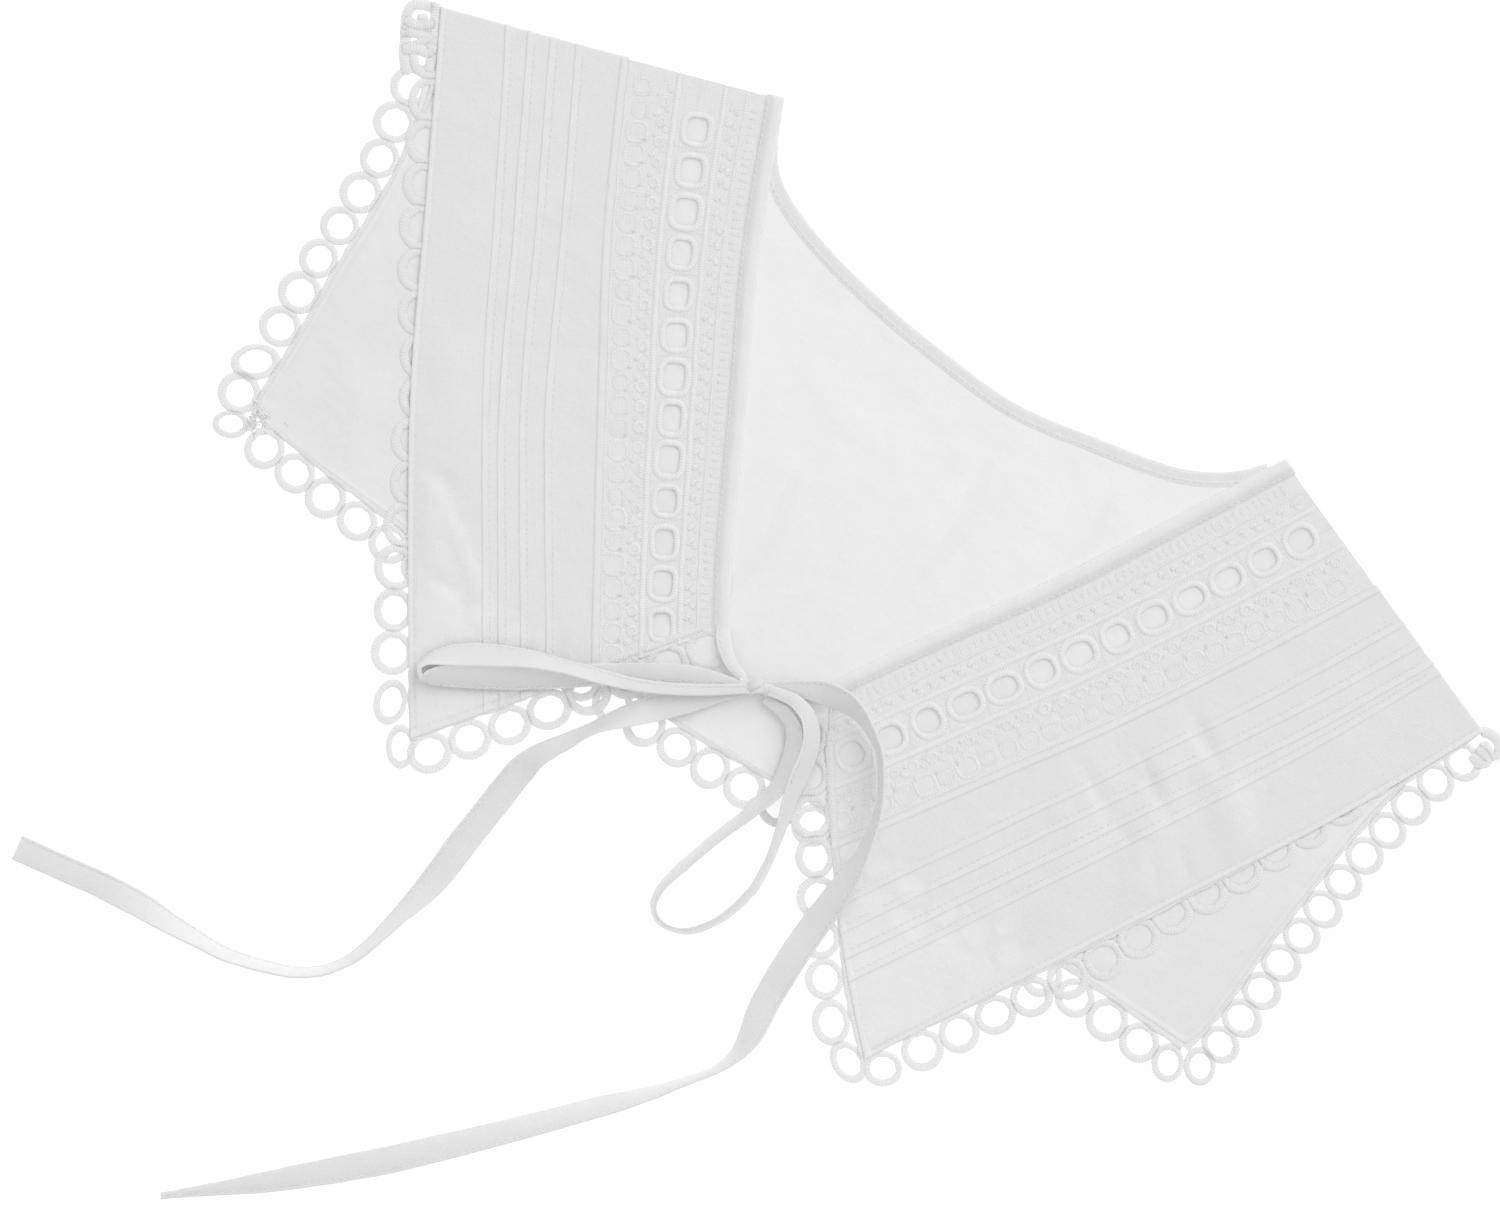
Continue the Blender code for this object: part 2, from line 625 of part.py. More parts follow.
def ring_edging(name, run, group, lace):
    """A strip of touching rings, its straight header beside the cloth."""
    side, count, squash_first, squash_last, path = run
    edge = cloth_edge(side)
    outer, header, holes = [], [], []
    for i, (centre, along, half) in enumerate(
            ring_spots(path, count, squash_first[0], squash_last[0])):
        is_first, is_last = i == 0, i == count - 1
        across_scale = squash_first[1] if is_first else squash_last[1] if is_last else 1.0
        radius = RING_RADIUS * across_scale
        out = right_of(along)
        start = -RING_END_ANGLE if is_first else -RING_JOIN_ANGLE
        end = RING_END_ANGLE if is_last else RING_JOIN_ANGLE
        for k in range(RING_ARC_STEPS + 1):
            a = radians(start + (end - start) * k / RING_ARC_STEPS)
            outer.append(centre + along * (half * sin(a)) + out * (radius * cos(a)))
        stops = [-END_HEADER if is_first else None, 0.0, END_HEADER if is_last else half]
        header += [beside(edge, centre + along * stop) for stop in stops if stop is not None]
        hole = []
        for k in range(RING_HOLE_SIDES):
            a = 2.0 * pi * k / RING_HOLE_SIDES
            hole.append(centre + along * ((half - RING_CORD) * sin(a))
                        + out * ((radius - RING_CORD) * cos(a)))
        holes.append(hole)
    plate = flat_plate([outer + header[::-1]] + holes, 0.0, CLOTH)
    if side:
        for vert in plate.verts:
            vert.co.z += underside(side, vert.co.x, vert.co.y)
    mesh_object(name, plate, group, lace)


# Ties

def ribbon(name, route, group, material):
    """A flat strip of cloth along a route, tilted and narrowed as it goes."""
    line = smooth_line(route, TIE_STEP)
    bm = bmesh.new()
    rings = []
    for i, (x, y, lower_edge, tilt, width) in enumerate(line):
        left = -right_of(tangent(line, i))
        c, s = cos(radians(tilt)), sin(radians(tilt))
        centre = Vector((x, y, lower_edge + (width * s + TIE_THICKNESS * c) / 2.0))
        wide = Vector((left[0] * c, left[1] * c, s)) * (width / 2.0)
        thick = Vector((-left[0] * s, -left[1] * s, c)) * (TIE_THICKNESS / 2.0)
        corners = (wide + thick, wide - thick, -wide - thick, -wide + thick)
        rings.append([bm.verts.new(centre + corner) for corner in corners])
    for a, b in zip(rings, rings[1:]):
        for k in range(4):
            bm.faces.new((a[k], a[(k + 1) % 4], b[(k + 1) % 4], b[k]))
    bm.faces.new(rings[0])
    bm.faces.new(rings[-1][::-1])
    mesh_object(name, bm, group, material)


def make_ties(group, material):
    """The bow: knot, two loops, two tails and the leads from the neck."""
    bm = bmesh.new()
    bmesh.ops.create_uvsphere(bm, u_segments=12, v_segments=8, radius=1.0)
    bmesh.ops.scale(bm, vec=KNOT_RADII, verts=bm.verts)
    bmesh.ops.translate(bm, vec=KNOT_CENTRE, verts=bm.verts)
    mesh_object("tie_knot", bm, group, material)
    for name, route in TIE_ROUTES.items():
        ribbon(name, route, group, material)


def main():
    clear_scene()
    group = collection("false_collar")
    cutters = collection("cutters")
    cotton = finish_material("cotton")
    lace = finish_material("lace")
    tie = finish_material("tie")
    make_back(group, cotton)
    for side in ("left", "right"):
        make_front(side, group, cutters, cotton, lace)
    for name, run in EDGING_RUNS.items():
        ring_edging(name, run, group, lace)
    make_ties(group, tie)


main()
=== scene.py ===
"""Looks of a false collar in white cotton, laid flat with its ties in a bow.

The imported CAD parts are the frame. Sizes in the tables are millimetres, as in
the part's source, and Pile.piece() turns them to metres. +X runs across the
shoulders, +Y up to the neck and +Z off the table.
"""

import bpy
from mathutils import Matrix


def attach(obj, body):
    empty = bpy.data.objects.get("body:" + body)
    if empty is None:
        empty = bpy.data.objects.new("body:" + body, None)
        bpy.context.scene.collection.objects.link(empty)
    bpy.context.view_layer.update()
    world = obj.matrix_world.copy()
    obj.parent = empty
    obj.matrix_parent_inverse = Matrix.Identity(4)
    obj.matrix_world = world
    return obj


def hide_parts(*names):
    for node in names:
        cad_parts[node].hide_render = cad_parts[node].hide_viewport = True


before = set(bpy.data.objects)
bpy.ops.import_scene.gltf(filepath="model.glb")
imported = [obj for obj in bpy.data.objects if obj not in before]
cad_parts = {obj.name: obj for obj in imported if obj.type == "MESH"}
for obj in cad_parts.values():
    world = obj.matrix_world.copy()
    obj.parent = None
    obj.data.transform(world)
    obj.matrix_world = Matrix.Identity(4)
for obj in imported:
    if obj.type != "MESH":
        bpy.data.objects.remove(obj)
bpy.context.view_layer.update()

from math import cos, pi, radians, sin

import bmesh
import bpy
import numpy as np
from bpy.props import FloatProperty, FloatVectorProperty, PointerProperty
from bpy.types import Operator, Panel, PropertyGroup

bl_info = {
    "name": "False collar",
    "version": (1, 0, 0),
    "blender": (4, 5, 0),
    "location": "3D View > Sidebar > Collar",
    "description": "Builds a white cotton false collar with lace insertion and ring edging",
    "category": "Object",
}

MM = 0.001
CLOTH_MAP = "cloth"

# Neck bindings, as in the part's source
NECK_BINDING_WIDTH = 6.3
BACK_BINDING_WIDTH = 4.3
BINDING_THICKNESS = 0.3

# How a front lies: its lift over the back, its hem's further lift over the rings and
# where that fades, the back's upper side, where the front drops to the table past
# the back's edge, and how far from the hem folds fade
LAYER_LIFT = 0.42
HEM_LIFT = 0.45
HEM_LIFT_START = 10.0
HEM_LIFT_LENGTH = 16.0
BACK_TOP = 0.62
DROP_START = 16.0
DROP_LENGTH = 18.0
FOLD_FADE = 9.0

# Pintucks: a row for each, with its distance from the hem at the lower edge, at
# TUCK_MIDDLE of the way up and at the shoulder
TUCKS_FROM_HEM = {
    "left": ((25.9, 24.4, 22.4), (31.5, 29.7, 30.2), (39, 36.7, 37.9), (47.9, 45.1, 46.8)),
    "right": ((26, 24.1, 23.8), (33.6, 31.1, 28), (42.3, 39.2, 35.6), (51.2, 47.4, 44.3)),
}
TUCK_MIDDLE = 0.4

# Lace insertion: its links' pitch, the first one's place, their share of the band's
# width, and the band's usual width, for which the motifs' sizes hold
LINK_PITCH = 13.8
LINK_START = 8.6
LINK_CENTRE = 0.445
BAND_WIDTH = 40.7

# Ring edging: the rings' size, how high they lie on the back's edge and below a
# front's hem, and the darned corner's place, spread and number of stitches
RING_RADIUS = 6.8
RING_LIFT = (0.38, 0.0)
DARNED_CORNER = (-184.9, -65.1, 2.6, 34)
# The edging's straight cord: its distance within the rings, half width and half
# height, tone, height over the table and over a front's hem
HEADER_INSET = 0.7
HEADER_HALF = (1.25, 0.34)
HEADER_TONE = 0.985
HEADER_HEIGHT = 0.62
HEADER_LIFT = 0.4

# A front's cloth lies this much over its underside. Past the second distance a hem
# has no effect.
CLOTH_LIFT = 0.62
FAR_FROM_HEM = 99.0

# Back panel: columns are x, y, as in the part's source
BACK_LEFT_EDGE = (
    (-212.6, 77.2), (-203.6, 54), (-198.4, 42), (-194.2, 16), (-193, -9), (-190.4, -36), (-189.6, -60),
    (-186.5, -64),
)
BACK_LOWER_EDGE = (
    (-186.5, -64), (-165, -65.9), (-8, -67.5), (19, -65.5), (43, -62.7), (158, -59.4), (172.8, -59),
    (186.5, -58.6),
)
BACK_RIGHT_EDGE = (
    (186.5, -58.6), (189.4, -48), (190, -14), (191.3, 11), (192.8, 35), (194.6, 47), (199.4, 60),
    (206.6, 77.8),
)
NECKLINE = (
    (-100.8, 117.8), (-97.5, 110.5), (-90.2, 101.3), (-78, 95), (-59.9, 90), (-41.3, 87), (-20, 84.8),
    (12, 83.6), (30.3, 86.1), (43.8, 89.4), (61.7, 93.6), (75.4, 97.8), (85.6, 103.4), (92.6, 109.2),
    (97.8, 115.6),
)

# Fronts: a row for each section from the lower edge up to the shoulder fold.
# Columns are neck edge x, y, hem edge x, y, the lace seam's distance from the
# neck edge and how far the section's middle bows out.
FRONT_SECTIONS = {
    "left": (
        (-17.5, -31.5, -83.4, -123.4, 47, 0), (-32, -8.7, -108.8, -88.2, 45.6, 0),
        (-56.4, 33.9, -148.6, -30.2, 47.7, 0), (-81.3, 77, -182, 26.6, 50.5, 0),
        (-103.2, 122.6, -214.6, 81.9, 54.3, 0),
    ),
    "right": (
        (20.6, -27, 102, -124, 54, 5), (41, 9, 131, -69.4, 52.5, 2), (63, 46, 158.6, -17.5, 52, 0),
        (83, 84, 185.4, 33.6, 52.2, 0), (101.5, 120, 208, 83.2, 52.5, 0),
    ),
}
SIDES = ("left", "right")

# Soft folds and creases: half width, height (a trough is below 0), points x, y
SOFT_FOLDS = {
    "left": (
        (8, 1.9, ((-137, -40), (-104, -84))), (7, 1.2, ((-150, -8), (-123, -36))),
        (2.8, -1.4, ((-134.3, -46.7), (-124.6, -46), (-115.6, -49.5), (-106.5, -54.5), (-99.1, -60.3))),
        (2.8, 0.9, ((-111.1, -57.7), (-101.5, -64.4), (-90.7, -71.1))),
        (2.8, -1.1, ((-113.8, -77.1), (-108.5, -74.2), (-101.5, -75.4), (-95.9, -74.8))),
        (1.8, -0.55, ((-131.2, 1.8), (-122.3, 7.7), (-112.9, 14.6), (-105.4, 19.5))),
        (3.4, -0.5, ((-97, -4), (-84, -1), (-70, 4))), (4, 0.3, ((-160, 12), (-142, 18), (-122, 30))),
        (3, -0.3, ((-152, 34), (-136, 46), (-126, 62))), (3.2, 0.4, ((-30, -22), (-38, -36), (-50, -52))),
        (2.4, -0.45, ((-22, -33), (-31, -41), (-42, -50))),
    ),
    "right": (
        (8.5, 2.1, ((126, 26), (145, -32))), (7, 1.9, ((132, 32), (171, 0))),
        (9, 1.4, ((104, 4), (126, -44))),
        (3, -1.7, ((107.2, 17), (110.3, 13.1), (117.2, 9.7), (124.8, 6.9), (133, 3.3), (140, -0.8))),
        (3, -1.6, ((122.8, 34.8), (130.9, 29.6), (137.8, 26.2), (145.2, 22))),
        (2.6, -1.1, ((101.8, -0.2), (110.1, -4.6), (119, -8.5), (126.1, -11.7), (132.5, -13.3))),
        (1.5, -0.8, ((138.2, -10.5), (144.4, -16.4), (149.5, -22.5))),
        (1.8, -0.9, ((148.2, -5.6), (154.4, -11.4), (160.4, -14.9))),
        (2, -0.5, ((160.8, 27.7), (161.8, 18.6), (164.3, 12.2))),
        (3.4, -0.8, ((112, -52), (122, -62), (118, -76))), (3, -0.4, ((62, -46), (78, -62), (92, -72))),
        (2.4, -0.45, ((26, -29), (33, -36), (42, -47))), (2.6, 0.45, ((29, -24), (38, -33), (50, -44))),
        (3.2, -0.3, ((60, -62), (76, -80), (86, -98))),
    ),
    "back": (
        (5, 0.35, ((-60, 60), (-30, 48), (4, 46))), (4, -0.3, ((20, 70), (28, 40), (24, 10))),
        (6, 0.3, ((-6, 20), (14, -6), (22, -34))), (4, -0.3, ((-30, 30), (-22, 0), (-26, -30))),
        (5, 0.35, ((-188, -20), (-170, -34), (-150, -56))),
        (4, 0.3, ((150, -52), (168, -40), (184, -20))), (3.5, -0.25, ((60, 80), (66, 62), (60, 44))),
    ),
}

# Ring edging runs, counter-clockwise. Columns are the front it hangs from,
# rings, how far the first and the last ring are squashed along and across the
# edge, and points on the line through the rings' centres.
EDGING_RUNS = {
    "back_left_edging": (
        None, 12, (0.7, 0.85), (0.62, 0.9),
        (
            (-211.6, 65.4), (-208.4, 54.8), (-205.9, 42), (-202.8, 28), (-201.3, 10), (-200.6, -9),
            (-198.6, -29), (-197.5, -46), (-196.8, -60.4), (-193.6, -71.6),
        ),
    ),
    "back_lower_edging": (
        None, 29, (1, 1), (0.8, 0.9),
        (
            (-178.7, -72.2), (-150, -74), (-112, -74.7), (-76, -75.2), (-42, -75.3), (-8, -74.9),
            (19, -72.8), (43, -70.3), (81, -69.2), (120, -68.1), (152, -67.2), (185.4, -67.2),
        ),
    ),
    "back_right_edging": (
        None, 13, (0.55, 0.9), (1, 1),
        (
            (194.8, -60.4), (196.9, -49.9), (197.5, -32), (197.6, -13.9), (198.6, 5), (199.5, 23.7),
            (202.4, 46.9), (204.8, 60), (208.6, 71.6),
        ),
    ),
    "front_left_side_edging": (
        "left", 17, (1, 1), (1, 0.6),
        (
            (-209.4, 66.2), (-194.8, 40), (-171.8, 1.8), (-146, -40.4), (-119.9, -81.8), (-98.6, -113.8),
            (-89, -126.8),
        ),
    ),
    "front_left_lower_edging": (
        "left", 8, (1, 1), (1, 1), ((-75.2, -123.5), (-57.8, -99.6), (-38.6, -70), (-19.1, -42.1)),
    ),
    "front_right_lower_edging": (
        "right", 9, (1, 1), (1, 0.6), ((24, -46.4), (37, -63.4), (50, -79.2), (75, -109.4), (95, -128.6)),
    ),
    "front_right_side_edging": (
        "right", 17, (1, 1), (1, 1),
        (
            (109.5, -122.2), (122.4, -100), (142, -64), (161.2, -28.2), (175.4, 0), (190.9, 34.4),
            (206.3, 71.2),
        ),
    ),
}

# How far the rings slip under the hem. Columns are the share of the run and the
# distance.
USUAL_SLIP = ((0.0, 0.3), (1.0, 0.3))
SLIPPED_UNDER = {
    "front_left_side_edging": (
        (0, 1.4), (0.18, 3.3), (0.33, 3.3), (0.4, 4.6), (0.455, 6.2), (0.52, 7.2), (0.57, 4.6),
        (0.65, 4.8), (0.74, 1.2), (1, 0.4),
    ),
    "front_right_side_edging": (
        (0, 0.4), (0.36, 0.6), (0.43, 1.6), (0.5, 4), (0.64, 5.6), (0.75, 7), (0.82, 8.2), (0.87, 10),
        (1, 12),
    ),
}

# Rings pulled out of shape at the corners: number in the run, x, y, turn in
# degrees, half length and half width
PULLED_RINGS = {
    "back_lower_edging": ((28, 185.3, -66.9, -55, 6.3, 5.2),),
    "back_right_edging": ((0, 194.7, -61.7, -55, 6.3, 5.2),),
    "back_left_edging": ((9, -197.6, -49.9, 40, 8.2, 5.9), (11, -192.5, -71.6, 35, 6, 4.5)),
    "front_left_side_edging": ((15, -95.9, -117, -72, 7.5, 5.4), (16, -84.6, -127.2, -55, 7.2, 4.8)),
    "front_right_lower_edging": ((7, 85.6, -120.2, -50, 7.6, 6.2), (8, 97.9, -127.8, -25, 7.5, 5.3)),
    "front_right_side_edging": ((0, 108.7, -123, 35, 6.4, 5.8),),
}

# Trim folded in at the shoulders: cords through points x, y
FOLDED_TRIM = (
    (
        (-211, 57.5), (-215.6, 62), (-218.8, 67.5), (-222.3, 72.9), (-223, 77.2), (-220.3, 79.5),
        (-215.7, 81.3),
    ),
    ((-221.2, 67.4), (-217, 70.6), (-212, 72)), ((-222.6, 72.2), (-218, 73), (-213.4, 76.8)),
    ((-217.4, 63.4), (-213.6, 66.4), (-209.4, 67.6), (-209.8, 71)),
    ((-219, 77), (-216.4, 74.6), (-213, 73.4)),
    ((-217.2, 82.6), (-212.6, 76), (-208.6, 69), (-205.8, 62)),
    (
        (207.6, 82.9), (209.2, 84.2), (213.5, 84.3), (216.4, 81.4), (215.5, 79.1), (212.6, 79.5),
        (209.8, 80.8),
    ),
    ((209.6, 77.6), (212.4, 78.2), (215, 76.2), (212.4, 74.4), (209.4, 75.4)),
)

# Ties: columns are x, y, height of the lower edge, tilt in degrees (90 stands
# on edge, with the left edge up) and width.
TIE_ROUTES = {
    "tie_lead_left": (
        (-22.6, -27.4, 0.2, 0, 3), (-20, -32, 0.7, 0, 4.4), (-17, -36, 1.8, 0, 5),
        (-13.5, -39.3, 2.6, 0, 4.6), (-9.2, -41.8, 3.1, 0, 4), (-3.6, -43, 3.5, 0, 3.4),
    ),
    "tie_lead_right": (
        (26.8, -25.8, 0.2, 0, 3), (22, -30, 0.7, 0, 4.6), (17.4, -31.9, 1.2, 0, 5.4),
        (12.9, -34.6, 1.5, 0, 4.8), (8.6, -37.8, 1.9, 0, 4.2), (4.9, -40.4, 2.2, 0, 4),
    ),
    "tie_tail_left": (
        (-2.6, -47, 2.7, 0, 4.4), (-7.5, -52, 2.8, 0, 5.4), (-12, -57, 2.8, 0, 7),
        (-16.4, -61.6, 2.8, 3, 8.2), (-21.8, -67.4, 2.8, 6, 9), (-27.5, -74.2, 2.6, 36, 9.6),
        (-34.9, -84.2, 1.5, 66, 10), (-40.1, -93.6, 0.3, 58, 10), (-45.3, -103.2, 0.3, 42, 10),
        (-47.3, -112, 0.3, 12, 10), (-48.2, -125.8, 0.3, 4, 10), (-49.1, -140.5, 0.3, 4, 10),
        (-49.8, -157, 0.3, 20, 10), (-52.4, -172.8, 0.3, 54, 10), (-57.6, -194.7, 0.3, 70, 10),
        (-68.9, -207.9, 0.3, 71, 10), (-90.1, -216.4, 0.3, 66, 10), (-102.3, -218.2, 0.3, 60, 10),
        (-114.9, -219.4, 0.3, 46, 10), (-124.5, -220, 0.3, 28, 9.6), (-140.4, -222.2, 0.3, 4, 9),
        (-152.3, -224.6, 0.3, 2, 8.8), (-170, -228, 0.3, 0, 8.8),
    ),
    "tie_tail_right": (
        (5.2, -40.2, 3.6, 4, 4.2), (9.6, -37.2, 3.5, 8, 5), (15.1, -34.2, 3.4, 16, 7),
        (21.6, -31.4, 3.5, 28, 9), (28.3, -30.1, 3.6, 45, 10), (34.9, -30.8, 3.6, 62, 10),
        (42, -34, 3.4, 74, 10), (48.5, -38.7, 3.4, 78, 10), (57.3, -51.7, 3.4, 78, 10),
        (62, -68.6, 3.3, 64, 10), (62.8, -86, 2.6, 26, 10), (62.6, -98, 1.5, 8, 10),
        (62.8, -112, 1.3, 4, 10), (64, -127.5, 0.4, 10, 10), (65.9, -138, 0.3, 34, 10),
        (66, -146, 0.3, 60, 10), (63, -155.2, 0.3, 78, 10), (54.9, -166.9, 0.3, 74, 10),
        (49.7, -174, 0.3, 66, 10), (38.6, -187.3, 0.3, 50, 10), (16.4, -213.6, 0.3, 38, 10),
        (-6.1, -239.2, 0.3, 18, 9.6), (-18, -251.7, 0.3, 10, 9.2), (-29.9, -263.7, 0.3, 8, 8.2),
        (-42, -275.5, 0.3, 4, 6.4), (-54.4, -286.8, 0.3, 2, 3.8), (-64.1, -295.7, 0.3, 0, 2.6),
    ),
    "tie_loop_left": (
        (0.4, -44.4, 5.4, 0, 3), (-2.6, -46.2, 6, 0, 3.6), (-7.8, -50.2, 6.2, 4, 3.8),
        (-13.8, -54.5, 6.1, 8, 4), (-23.1, -60.5, 6.2, 12, 4.2), (-33.1, -65.7, 6.3, 22, 4.8),
        (-43.7, -69.9, 6.1, 36, 6), (-54.5, -73.7, 5, 54, 7.8), (-65, -78.1, 4, 54, 9.6),
        (-74.8, -83.4, 3.4, 44, 10), (-84.1, -89.4, 3.1, 42, 10), (-90.7, -94.9, 3.1, 58, 10),
        (-93.6, -98.7, 3.1, 76, 10), (-94.3, -101.9, 3.1, 84, 10), (-92, -103.9, 3.1, 82, 10),
        (-89.6, -102.4, 3.1, 62, 10), (-86, -99.3, 2.9, 44, 10), (-80.1, -95.3, 2.7, 36, 10),
        (-70.6, -89.2, 2.6, 34, 10), (-61.5, -82.8, 2.6, 32, 9.8), (-52.7, -76.4, 2.8, 24, 8.6),
        (-44.1, -69.6, 3, 12, 7.6), (-35.1, -62.8, 3.2, 10, 7.2), (-26, -56.4, 3.6, 10, 7),
        (-16.4, -50.8, 4.1, 8, 6.2), (-7.8, -47.3, 4.6, 4, 4.4), (-2.6, -45.6, 4.8, 0, 3.8),
        (0.2, -43.8, 4.4, 0, 3.2),
    ),
    "tie_loop_down": (
        (5.7, -44.2, 2.8, 0, 3.6), (9, -44.4, 2.7, 20, 4.2), (14.6, -44.8, 2.7, 36, 5.6),
        (20, -47.8, 2.5, 44, 7.6), (23.6, -53.8, 2.3, 50, 9.2), (25.9, -61.6, 2.2, 54, 10),
        (25.6, -69.7, 1.8, 62, 10), (23, -79.5, 1.3, 68, 10), (18.6, -93, 0.3, 70, 10),
        (15, -107, 0.3, 72, 10), (13.5, -116, 0.3, 76, 10), (14.9, -122.3, 0.3, 80, 10),
        (20, -125.6, 0.3, 80, 10), (27.3, -123.8, 0.3, 78, 10), (32.5, -118.7, 0.3, 76, 10),
        (36.6, -110.6, 0.3, 74, 10), (38.8, -100, 0.5, 74, 10), (38.5, -91.8, 1, 74, 10),
        (36.8, -83.6, 1.9, 74, 10), (34.3, -74.7, 2.7, 70, 10), (31.8, -67.1, 2.8, 62, 10),
        (29.9, -59.1, 3, 54, 10), (28.3, -51.7, 3.4, 50, 9.2), (25.4, -45.4, 4.2, 46, 8),
        (20.7, -41, 5.2, 36, 6.4), (14.7, -39.4, 5.6, 18, 5), (9.6, -40.2, 5.6, 6, 4),
        (5.4, -41.4, 5.6, 0, 3.6),
    ),
}
# The folded strip: its thickness in the part, half of it as drawn, the step along
# it, its least width and its stitched seam's distance from the edge
TIE_THICKNESS = 1.0
TIE_HALF_HIGH = 0.42
TIE_STEP = 1.5
LEAST_TIE_WIDTH = 2.2
SEAM_FROM_EDGE = 1.1
# Stretches listed as cords, and what their far ends are
TIE_CORDS = {
    "tie_tail_left": "bare",
    "tie_tail_right": "bare",
    "tie_loop_left": "knot",
    "tie_loop_down": "knot",
}
# The knot: its centre and its turns. Columns are the turn's place along the knot,
# half width, half height, the turn's radius across and up, and its lean in radians.
KNOT_CENTRE = (1.0, -43.0, 4.7)
KNOT_TURNS = (
    (-0.9, 1.5, 0.45, 3.0, 2.7, radians(-24.0)),
    (1.1, 1.3, 0.42, 2.6, 2.5, radians(-24.0) - 0.25),
)
KNOT_STEPS = 40
KNOT_SIDES = 8


def linear_colour(hex_value):
    """Linear RGB of an sRGB hex colour."""
    parts = [int(hex_value[i:i + 2], 16) / 255.0 for i in (0, 2, 4)]
    return [c / 12.92 if c <= 0.04045 else ((c + 0.055) / 1.055) ** 2.4 for c in parts]


# Settings that a user may change

def length_setting(name, description, default):
    """A length in metres that a user may change."""
    return FloatProperty(name=name, description=description, default=default, unit="LENGTH")


def colour_setting(name, description, hex_value):
    """A colour that a user may change."""
    return FloatVectorProperty(name=name, description=description, subtype="COLOR",
                               default=linear_colour(hex_value))


class CollarSizes(PropertyGroup):
    """Sizes of the cloth, cords and stitches."""
    cloth: length_setting("Cloth", "Thickness of the cotton", 0.0005)
    tuck_rise: length_setting("Tuck rise", "Height of a pressed pintuck", 0.0004)
    hem_rise: length_setting("Hem rise", "Extra thickness of a turned hem", 0.00026)
    ring_cord: length_setting("Ring cord", "Width of the edging's cord", 0.0028)
    link_cord: length_setting("Link cord", "Width of the cord round a lace link", 0.0021)
    stitch_pitch: length_setting("Stitch pitch", "Distance from stitch to stitch", 0.0023)


class CollarColours(PropertyGroup):
    """Colours of the cloths."""
    cotton: colour_setting("Cotton", "Plain woven cotton", "F5F5F5")
    # The back's lighter colour is painted backlight, the lit table shining through one layer
    back: colour_setting("Back", "Wrong side of the back panel", "F8F8F8")
    lace: colour_setting("Lace", "Cotton lace", "F8F8F8")
    tie: colour_setting("Tie", "Folded cotton strip", "EDEDED")


class StageSettings(PropertyGroup):
    """Light and camera."""
    sky: FloatProperty(name="Sky", description="Strength of the even light", default=0.68)
    key: FloatProperty(name="Key", description="Strength of the softbox", default=0.8)
    table_glow: FloatProperty(
        name="Table glow", description="Light from the backlit table", default=0.45)
    camera_height: length_setting("Camera height", "Height over the table", 3.0)


# Finishes

def add_node(tree, kind, settings=None, inputs=None):
    """Add a node with its settings; an input is a value or the socket it comes from."""
    node = tree.nodes.new(kind)
    for key, value in (settings or {}).items():
        setattr(node, key, value)
    for key, value in (inputs or {}).items():
        if isinstance(value, bpy.types.NodeSocket):
            tree.links.new(value, node.inputs[key])
        else:
            node.inputs[key].default_value = value
    return node


def calculate(tree, operation, first, second):
    """Output of a sum or product of two numbers or sockets."""
    return add_node(tree, "ShaderNodeMath", {"operation": operation},
                    {0: first, 1: second}).outputs[0]


def new_material(name, values):
    """A material and its shader, with values for the shader's sockets."""
    material = bpy.data.materials.new(name)
    material.use_nodes = True
    shader = material.node_tree.nodes["Principled BSDF"]
    for key, value in values.items():
        shader.inputs[key].default_value = value
    return material, shader


# All the cottons' sockets. Light seeps through the threads, which softens every
# small shadow.
COTTON_SOCKETS = {
    "Metallic": 0.0, "IOR": 1.5, "Specular IOR Level": 0.25, "Sheen Roughness": 0.6,
    "Subsurface Weight": 0.35, "Subsurface Radius": (1.0, 1.0, 1.0),
    "Subsurface Scale": 0.0005,
}
# A wave texture of scale 1 repeats 20 / (2 pi) times in a unit
WAVE_REPEATS = 20.0 / (2.0 * pi)
# Slubs are a thread's thick spots: their texture's scale along the cloth's map, and
# their share of the mottle and painted shade
SLUB_STRETCH = (60.0, 700.0, 1.0)
SLUB_SHARE = 0.4


